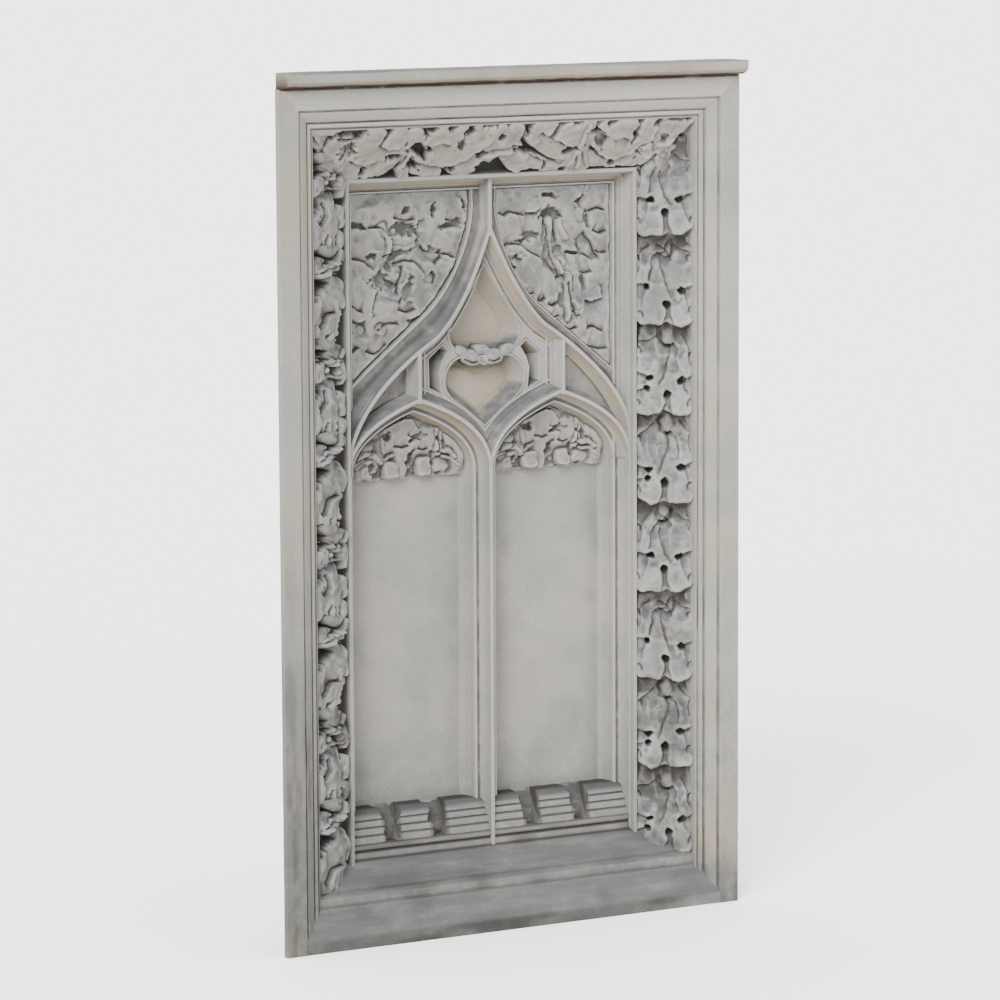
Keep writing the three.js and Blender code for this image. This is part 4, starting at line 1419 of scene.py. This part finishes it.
# Foliage that fills the two spandrels beside the hood, in panel coordinates
spandrelLook = {"ground": 146.0, "grid": 1.45, "crumple": 2.6, "hidden": 163.4, "back": 163.6}
spandrelWork = {"swell": 5.0, "ridge": 0.45, "soft": 0.5, "drop": 7.0, "fade": 17.0}
spandrelLeft = {
    **spandrelWork,
    "pads": [  # (across, height, half width, half height, turn, lean)
        (-243, 1284, 28, 27, 0, -4), (-184, 1283, 29, 22, 5, -3), (-126, 1280, 22, 24, 0, -4),
        (-74, 1280, 20, 22, -6, -3), (-44, 1290, 14, 20, 0, -3), (-240, 1226, 30, 26, 12, 4),
        (-205, 1214, 22, 30, 30, -5), (-150, 1224, 20, 15, 0, -4), (-108, 1246, 18, 38, -8, -4),
        (-64, 1222, 28, 24, 14, -5), (-253, 1168, 22, 34, 0, 3), (-222, 1150, 20, 26, 20, 3),
        (-148, 1196, 26, 14, -10, -4), (-140, 1138, 22, 44, 14, -4), (-104, 1180, 12, 13, 0, -5),
        (-100, 1153, 12, 13, 0, -5), (-102, 1126, 13, 14, 0, -5), (-196, 1106, 36, 30, 18, -5),
        (-254, 1120, 16, 28, 0, 3), (-172, 1090, 22, 16, 20, -5), (-230, 1058, 22, 20, -10, -5),
        (-262, 1066, 18, 26, 0, 3), (-262, 1010, 20, 30, 0, 3), (-238, 1014, 16, 24, 15, -4),
        (-205, 1040, 20, 18, 30, -4), (-150, 1066, 22, 14, 35, -4), (-60, 1180, 18, 16, 20, -4),
        (-86, 1205, 14, 15, 0, -4),
    ],
    "stems": [
        (((-196, 1252), (-181, 1229), (-184, 1196)), 8, 5),
        (((-176, 1214), (-150, 1210), (-128, 1218)), 5, 3),
    ],
    "folds": [  # the surface drops on the right of each run
        ((-130, 1262), (-150, 1259), (-175, 1262)), ((-34, 1254), (-52, 1251), (-76, 1256)),
        ((-231, 1250), (-250, 1252), (-268, 1258)), ((-214, 1172), (-229, 1187), (-268, 1197)),
        ((-149, 1206), (-166, 1204), (-185, 1196), (-186, 1174)), ((-50, 1186), (-70, 1196), (-92, 1197)),
        ((-112, 1158), (-119, 1168), (-136, 1186), (-176, 1182)), ((-150, 1084), (-119, 1096), (-96, 1113)),
        ((-236, 1103), (-250, 1106), (-264, 1120)),
        ((-186, 1045), (-200, 1030), (-212, 1026), (-234, 1031)),
        ((-160, 1076), (-186, 1078), (-212, 1064)), ((-100, 1170), (-92, 1158), (-98, 1143)),
        ((-196, 1196), (-184, 1206), (-180, 1232)), ((-120, 1216), (-106, 1204), (-92, 1210)),
        ((-152, 1180), (-164, 1156), (-160, 1128)), ((-130, 1106), (-148, 1096), (-166, 1100)),
        ((-244, 1040), (-256, 1030), (-268, 1036)), ((-262, 1090), (-248, 1084), (-232, 1090)),
        ((-175, 1172), (-180, 1195), (-177, 1212), (-183, 1234), (-200, 1249), (-228, 1248)),
        ((-196, 1170), (-186, 1156), (-166, 1150)), ((-143, 1150), (-151, 1131), (-158, 1112)),
        ((-218, 1092), (-217, 1118), (-206, 1142)), ((-136, 1216), (-124, 1236), (-128, 1262)),
        ((-78, 1208), (-80, 1190), (-94, 1176)),
    ],
    "curls": [(-171, 1164, 17, 7), (-201, 1069, 11, 6), (-240, 1072, 8, 4)],
    "pockets": [  # (across, height, half width, half height, turn, depth left in the hole)
        (-151, 1246, 21, 10, -4, 3), (-151, 1279, 6, 7, 0, 8), (-95, 1279, 5, 9, 0, 8),
        (-37, 1284, 5, 8, 0, 8), (-249, 1252, 18, 5, -8, 8), (-54, 1249, 20, 5, 8, 7),
        (-216, 1201, 7, 5, 0, 8), (-168, 1201, 17, 5, 12, 7), (-183, 1185, 4, 11, 0, 8),
        (-98, 1206, 6, 9, 30, 10), (-200, 1158, 13, 11, -30, 7), (-146, 1140, 8, 18, -12, 13),
    ],
}
spandrelRight = {
    **spandrelWork,
    "pads": [
        (48, 1288, 27, 24, 0, -4), (90, 1278, 22, 16, 0, -3), (150, 1282, 38, 17, 0, -3),
        (206, 1284, 24, 24, 10, -4), (244, 1284, 20, 26, 0, -4), (66, 1242, 34, 18, -8, 3),
        (110, 1246, 18, 16, 20, -4), (182, 1240, 26, 26, 30, -4), (236, 1234, 28, 26, -12, -4),
        (36, 1228, 16, 26, 0, 3), (84, 1180, 46, 32, -18, 4), (52, 1196, 20, 16, 30, -4),
        (99, 1130, 13, 15, 0, -5), (123, 1120, 13, 17, 0, -5), (145, 1106, 14, 13, 0, -5),
        (147, 1084, 13, 13, 0, -5), (182, 1198, 20, 14, 0, -4), (214, 1200, 18, 18, 20, -4),
        (243, 1208, 18, 24, 0, -4), (182, 1160, 20, 24, 10, -4), (226, 1124, 20, 28, -4, 3),
        (252, 1160, 18, 34, 0, 3), (178, 1062, 17, 15, 0, -5), (200, 1090, 16, 18, 0, 3),
        (232, 1066, 28, 22, 20, -4), (228, 1034, 26, 20, -10, -4), (254, 1000, 20, 30, 0, -4),
        (252, 1092, 18, 24, 0, 3), (204, 1052, 18, 18, 0, -4), (70, 1138, 20, 16, -30, -4),
    ],
    "stems": [
        (((142, 1256), (138, 1232), (135, 1206), (140, 1180), (158, 1156)), 7, 5),
        (((158, 1258), (160, 1230), (170, 1214)), 5, 3), (((174, 1150), (178, 1116), (176, 1070)), 7, 5),
        (((196, 1272), (208, 1290), (214, 1308)), 4, 3),
    ],
    "folds": [
        ((92, 1255), (54, 1264), (44, 1257), (28, 1266)),
        ((130, 1163), (121, 1179), (101, 1188), (79, 1204), (54, 1206), (38, 1199)),
        ((88, 1264), (108, 1262), (124, 1270)), ((192, 1270), (198, 1280), (208, 1290)),
        ((256, 1260), (232, 1264), (212, 1260), (212, 1238)), ((114, 1214), (100, 1226), (80, 1222)),
        ((57, 1179), (64, 1168), (72, 1166)), ((72, 1192), (75, 1182), (82, 1182)),
        ((110, 1120), (98, 1115), (86, 1122)), ((134, 1106), (122, 1102), (112, 1108)),
        ((158, 1096), (146, 1091), (135, 1096)), ((158, 1076), (146, 1070), (136, 1077)),
        ((202, 1183), (186, 1184), (170, 1186)), ((228, 1170), (208, 1184), (188, 1212)),
        ((258, 1187), (240, 1186), (228, 1190)), ((206, 1104), (224, 1099), (243, 1104), (238, 1128)),
        ((226, 1152), (212, 1148), (196, 1150)), ((200, 1074), (190, 1074), (185, 1084)),
        ((196, 1052), (182, 1048), (168, 1054)), ((256, 1012), (236, 1012), (212, 1020)),
        ((250, 1044), (230, 1050), (212, 1046)), ((150, 1146), (160, 1148), (166, 1158)),
        ((256, 1224), (240, 1218), (222, 1226)),
        ((130, 1266), (135, 1238), (136, 1206), (146, 1172), (158, 1150), (174, 1164)),
        ((152, 1262), (150, 1230), (156, 1204)), ((206, 1230), (222, 1206), (238, 1176)),
        ((168, 1192), (188, 1190), (206, 1188)), ((176, 1142), (186, 1104), (196, 1066)),
    ],
    "curls": [(154, 1174, 17, 7), (60, 1190, 8, 4)],
    "pockets": [
        (137, 1261, 15, 8, 6, 4), (155, 1256, 7, 5, 0, 6), (97, 1222, 17, 6, 24, 5),
        (136, 1292, 13, 3.5, -6, 10), (157, 1198, 8, 4, 0, 11), (133, 1198, 3.5, 16, 0, 11),
        (163, 1108, 7, 11, 0, 9), (214, 1248, 3.4, 12, 0, 11), (198, 1280, 3.5, 10, -36, 10),
        (204, 1136, 5, 15, 8, 12), (200, 1192, 4, 14, 42, 12),
    ],
}


# Painted shade where the surface sinks to the ground between the leaves
def spandrelPaintedShade(across, height, depth):
    ground = spandrelLook["ground"]
    return 0.75 * smoothStep(ground - 9, ground + 2, depth) * (depth < 162)


def makeSpandrels():
    look = spandrelLook
    for side, sign, detail in (("Left", -1, spandrelLeft), ("Right", 1, spandrelRight)):
        _, outer = hoodOuterRun(side)
        line = outer * [sign, 1]
        xs = sign * np.arange(18, 276, look["grid"])
        x, z = np.meshgrid(np.sort(xs), np.arange(900, headTop - 8, look["grid"]))
        away, _, _ = beside(x, z, line)
        above = inside(x, z, np.vstack([line, [(sign * 400, 780), (sign * 400, 1500), (0, 1500)]]))
        distance = np.where(above, away, -away)
        h = workRelief(x, z, detail, 100 if sign < 0 else 200, 19, look["crumple"])
        rim = np.minimum.reduce([distance, 264 - np.abs(x), headTop - 20 - z])
        h = h - 9 * smoothStep(5, 0, rim)
        depth = look["ground"] - np.clip(h, 0, 31)
        depth = np.where(distance < -3.5, look["hidden"], depth)
        keep = largestPatch(touchedCells(distance > -6))
        mesh = closedSheet(f"spandrel{side}", x, z, depth, look["back"], keep)
        finishPiece(f"spandrel{side}", mesh, carvedStone, crease=60, broad=50, grime=spandrelPaintedShade)


makeSpandrels()
print("spandrels made")

# Cusped foliage, broken short, in the heads of the two lights, about each light's centre
headLook = {"ground": 151.0, "bottom": 803.0, "grid": 1.4, "crumple": 1.8}
headFoliage = {
    "swell": 5.0, "mass": 8.0, "rim": (0.12, 0.55), "ridge": 0.5, "soft": 0.5,
    "pads": [
        (-14, 884, 40, 32, 0, -3), (-42, 866, 24, 20, 30, -3), (24, 872, 26, 24, -20, -3),
        (-14, 838, 13, 30, 0, 0), (-64, 840, 24, 12, 25, -3), (66, 847, 26, 11, -25, -3),
        (-88, 818, 17, 15, 0, -3), (60, 822, 15, 12, 0, -3), (-94, 848, 24, 10, 35, 0),
        (92, 862, 20, 14, -30, 0), (48, 874, 22, 18, 0, -3), (96, 834, 12, 22, 0, 0),
    ],
    "stems": [
        (((-110, 838), (-92, 849), (-70, 846), (-58, 832)), 5, 5),
        (((90, 836), (78, 849), (62, 848), (50, 838)), 5, 5), (((56, 888), (58, 868), (52, 850)), 4.5, 5),
        (((-56, 884), (-54, 866), (-50, 852)), 4, 3), (((-104, 828), (-90, 836), (-76, 834)), 4, 3),
        (((96, 820), (80, 834), (66, 836)), 4, 3),
    ],
    "folds": [
        ((22, 886), (4, 906), (-22, 911)), ((24, 866), (10, 872), (-4, 880)),
        ((-36, 886), (-46, 876), (-52, 870)), ((-56, 806), (-70, 806), (-80, 818)),
        ((52, 852), (66, 842), (84, 840)), ((0, 862), (-16, 856), (-34, 860)),
        ((42, 852), (30, 848), (14, 852)), ((-28, 850), (-42, 846), (-52, 838)),
    ],
    "blocks": [(-39, 820, 16, 15, 0, 24, -2), (29, 821, 15, 17, 0, 23, -2), (-16, 826, 9, 26, 0, 16, 0)],
    "drop": 5.0, "fade": 13.0, "curls": [(-88, 816, 14, 4)],
    "pockets": [
        (2, 838, 9, 12, 0, 2), (2, 812, 9, 10, 0, 2), (12, 874, 14, 4, 20, 8), (-44, 878, 9, 4, -20, 8),
        (58, 866, 3.2, 14, 0, 9), (68, 866, 3.0, 12, 0, 9), (-64, 810, 9, 6, 0, 4), (58, 808, 7, 3, 0, 6),
        (-72, 826, 7, 4, 20, 8), (44, 834, 4, 12, 0, 7),
    ],
}


# Painted shade where the foliage sinks to its ground
def headPaintedShade(across, height, depth):
    ground = headLook["ground"]
    return 0.5 * smoothStep(ground - 7, ground + 1, depth) * (height > 806)


def makeHeads():
    look = headLook
    for side, sign in (("Left", -1), ("Right", 1)):
        centre = sign * lightHalf
        arch = lancetArch()
        outline = np.vstack([arch, [(-lightHalf, 780), (lightHalf, 780)]])
        x, z = np.meshgrid(np.arange(-128, 128.1, look["grid"]), np.arange(796, 930, look["grid"]))
        away, _, _ = beside(x, z, arch)
        within = np.where(inside(x, z, outline), away, -away)
        shift = 0 if sign < 0 else 3
        h = workRelief(x + shift, z, headFoliage, 300 if sign < 0 else 400, 8, look["crumple"])
        edge = look["bottom"] + 2.5 * softNoise(x, z * 0, 15, 17 + sign)
        h = np.where(within < 30, np.minimum(h, 9), h)
        standing = smoothStep(edge - 1.2, edge + 1.6, z)
        worked = look["ground"] - np.clip(h, 1, 27) * standing
        depth = np.where(z < edge - 1.2, fieldLook["depth"] + 1.5, worked)
        keep = largestPatch(touchedCells(within > 24))
        mesh = closedSheet(f"head{side}", x + centre, z, depth, carvingBack, keep)
        finishPiece(f"head{side}", mesh, carvedStone, crease=60, broad=40, ochre=lambda a, b, d: 0.35 + 0 * d,
                    grime=headPaintedShade)


makeHeads()
print("heads of the lights made")

# Sunk panels between the hood and the lights: a dagger over a heart, with a slot on each side
cellLook = {"plate": 118.0, "grid": 1.35, "sideFloor": 126.0, "sideGrid": 2.0}
daggerHalf = [
    (0, 1014), (24, 1016), (52, 1023), (68, 1042), (70, 1062), (56, 1092), (31, 1126), (11, 1158), (0, 1176),
]
heartHalf = [
    (0, 890), (34, 918), (60, 937), (76, 955), (80, 973), (75, 992), (62, 1007), (44, 1014), (22, 1008),
    (0, 998),
]
slotHalf = [(86, 950), (111, 962), (112, 1014), (84, 1038), (72, 1027), (84, 1008), (90, 988)]
# Distances inside the outline, and the depth at each
sunkSteps = (
    [-3.4, -2.2, 0.6, 1.8, 4.5, 8.5, 13.0, 17.0, 19.5, 21],
    [118, 115.4, 115.2, 118.5, 126, 134.5, 142, 147, 151, 150],
)
slotSteps = ([-3.2, -2.0, 0.4, 1.6, 5, 8, 11], [118, 116, 116, 121, 140, 155, 160])


def rounded(points):  # a smooth run through the given points
    points = np.asarray(points, float)
    count = len(points)
    out = []
    for k in range(count - 1):
        p0, p1, p2, p3 = (points[min(max(k + j, 0), count - 1)] for j in (-1, 0, 1, 2))
        square, cube = 2 * p0 - 5 * p1 + 4 * p2 - p3, 3 * p1 - p0 - 3 * p2 + p3
        for t in np.linspace(0, 1, 6)[:-1]:
            out.append(0.5 * (2 * p1 + (p2 - p0) * t + square * t * t + cube * t ** 3))
    return np.array(out)


def openHalf(points):  # both sides of a symmetric outline, its two ends kept sharp
    half = rounded(points)
    half = np.vstack([half, points[-1]])
    return np.vstack([half, mirrored(half)[::-1][1:-1]])


def signedDistance(x, z, outline):
    away, _, _ = beside(x, z, np.vstack([outline, outline[:1]]))
    return np.where(inside(x, z, outline), away, -away)


def lightOutline(centre):
    return np.vstack([lancetArch(centre), [(centre - lightHalf, 600), (centre + lightHalf, 600)]])


# Painted shadow in a band under the leafy cusp
def shadowUnderCusp(across, height, depth):
    band = smoothStep(978, 996, height) * smoothStep(1018, 1012, height)
    return band * smoothStep(62, 50, np.abs(across)) * smoothStep(118.5, 121, depth)


def makeCell():
    look = cellLook
    xs = np.arange(-150, 156, look["grid"])
    x, z = np.meshgrid(xs, np.arange(856, 1216, look["grid"]))
    outlines = [(openHalf(daggerHalf), sunkSteps), (openHalf(heartHalf), sunkSteps)]
    slot = np.array(slotHalf, float)
    outlines += [(slot, slotSteps), (mirrored(slot), slotSteps)]
    for _ in range(2):  # points near each outline and each fillet are drawn onto it
        for outline, (offsets, _) in outlines:
            for level in (offsets[1], offsets[2]):
                d0 = signedDistance(x, z, outline) - level
                near = np.abs(d0) < 0.55 * look["grid"]
                gx = signedDistance(x + 0.2, z, outline) - level - d0
                gz = signedDistance(x, z + 0.2, outline) - level - d0
                size = np.maximum(gx ** 2 + gz ** 2, 0.01)
                x = x - np.where(near, 0.9 * d0 * gx * 0.2 / size, 0)
                z = z - np.where(near, 0.9 * d0 * gz * 0.2 / size, 0)
    depth = look["plate"] + 0.5 * softNoise(x, z, 12, 41)
    for outline, (offsets, depths) in outlines:
        distance = signedDistance(x, z, outline)
        sunk = np.interp(distance, offsets, depths)
        floorWave = 0.7 * softNoise(x, z, 30, 43) * smoothStep(12, 22, distance)
        worked = np.where(distance > 2, np.maximum(depth, sunk + floorWave), sunk)
        depth = np.where(distance > offsets[0], worked, depth)
    hoods = []
    for side, sign in (("Left", -1), ("Right", 1)):
        upper, lower = hoodRun(side)
        hoods.append(join(upper, lower) * [sign, 1])
    hood = np.vstack([hoods[0][::-1], hoods[1], [(400, 700), (-400, 700)]])
    under = inside(x, z, hood)
    out = np.ones(x.shape, bool)
    for centre in (-lightHalf, lightHalf):
        out &= ~inside(x, z, lightOutline(centre))
    mesh = closedSheet("traceryCell", x, z, depth, carvingBack, largestPatch(fullCells(under & out)))
    # painted shade on the deep slot floors, and the painted shadow under the cusp
    finishPiece("traceryCell", mesh, limestone, crease=40,
                ochre=lambda a, b, d: 0.6 * smoothStep(140, 150, d),
                grime=lambda a, b, d: np.maximum(0.75 * smoothStep(152, 160, d), 0.6 * shadowUnderCusp(a, b, d)))
    # shallow floors of the two small cells under the shoulders of the hood
    for side, sign in (("Left", -1), ("Right", 1)):
        grid = look["sideGrid"]
        x, z = np.meshgrid(sign * np.arange(136, 290, grid)[::sign], np.arange(820, 1050, grid))
        depth = look["sideFloor"] + 2 * softNoise(x, z, 14, 47) - 5 * np.exp(-((np.abs(x) - 175) / 12) ** 2)
        cells = inside(x, z, hood) & ~inside(x, z, lightOutline(sign * lightHalf))
        keep = largestPatch(cells[:-1, :-1] & cells[1:, 1:])
        mesh = closedSheet(f"sideCell{side}", x, z, depth, carvingBack, keep)
        finishPiece(f"sideCell{side}", mesh, limestone, grime=lambda a, b, d: 0.35 + 0 * d)


makeCell()

# Leafy cusp where the dagger meets the heart
cuspLook = {
    "ground": 127.0, "back": 136.0, "shown": 3.0, "swell": 8.0, "mass": 14.0, "rim": (0.28, 0.5),
    "pads": [
        (-27, 1017, 18, 13, -8, -4), (18, 1019, 21, 14, 6, -4), (-46, 1028, 13, 9, -20, -2),
        (43, 1027, 15, 10, 20, -2), (-6, 1030, 14, 9, 0, 0),
    ],
    "folds": [((34, 1012), (18, 1007), (4, 1010)), ((-14, 1010), (-28, 1006), (-44, 1012))],
    "drop": 4.0, "fade": 6.0, "pockets": [(-7, 1012, 3.4, 8, 0, 2)],
}


def makeCusp():
    x, z = np.meshgrid(np.arange(-62, 62, 1.3), np.arange(984, 1044, 1.3))
    h = workRelief(x, z + cuspLook["drop"], cuspLook, 500, -4, 1.2)
    keep = largestPatch(fullCells(h > cuspLook["shown"]))
    mesh = closedSheet("cuspLeaves", x, z, cuspLook["ground"] - h, cuspLook["back"], keep)
    finishPiece("cuspLeaves", mesh, carvedStone, crease=60, broad=30)


makeCusp()
print("tracery cells made")

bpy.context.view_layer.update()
triangles = sum(sum(len(p.vertices) - 2 for p in piece.data.polygons) for piece in made)
print("pieces", len(made), "triangles", triangles)
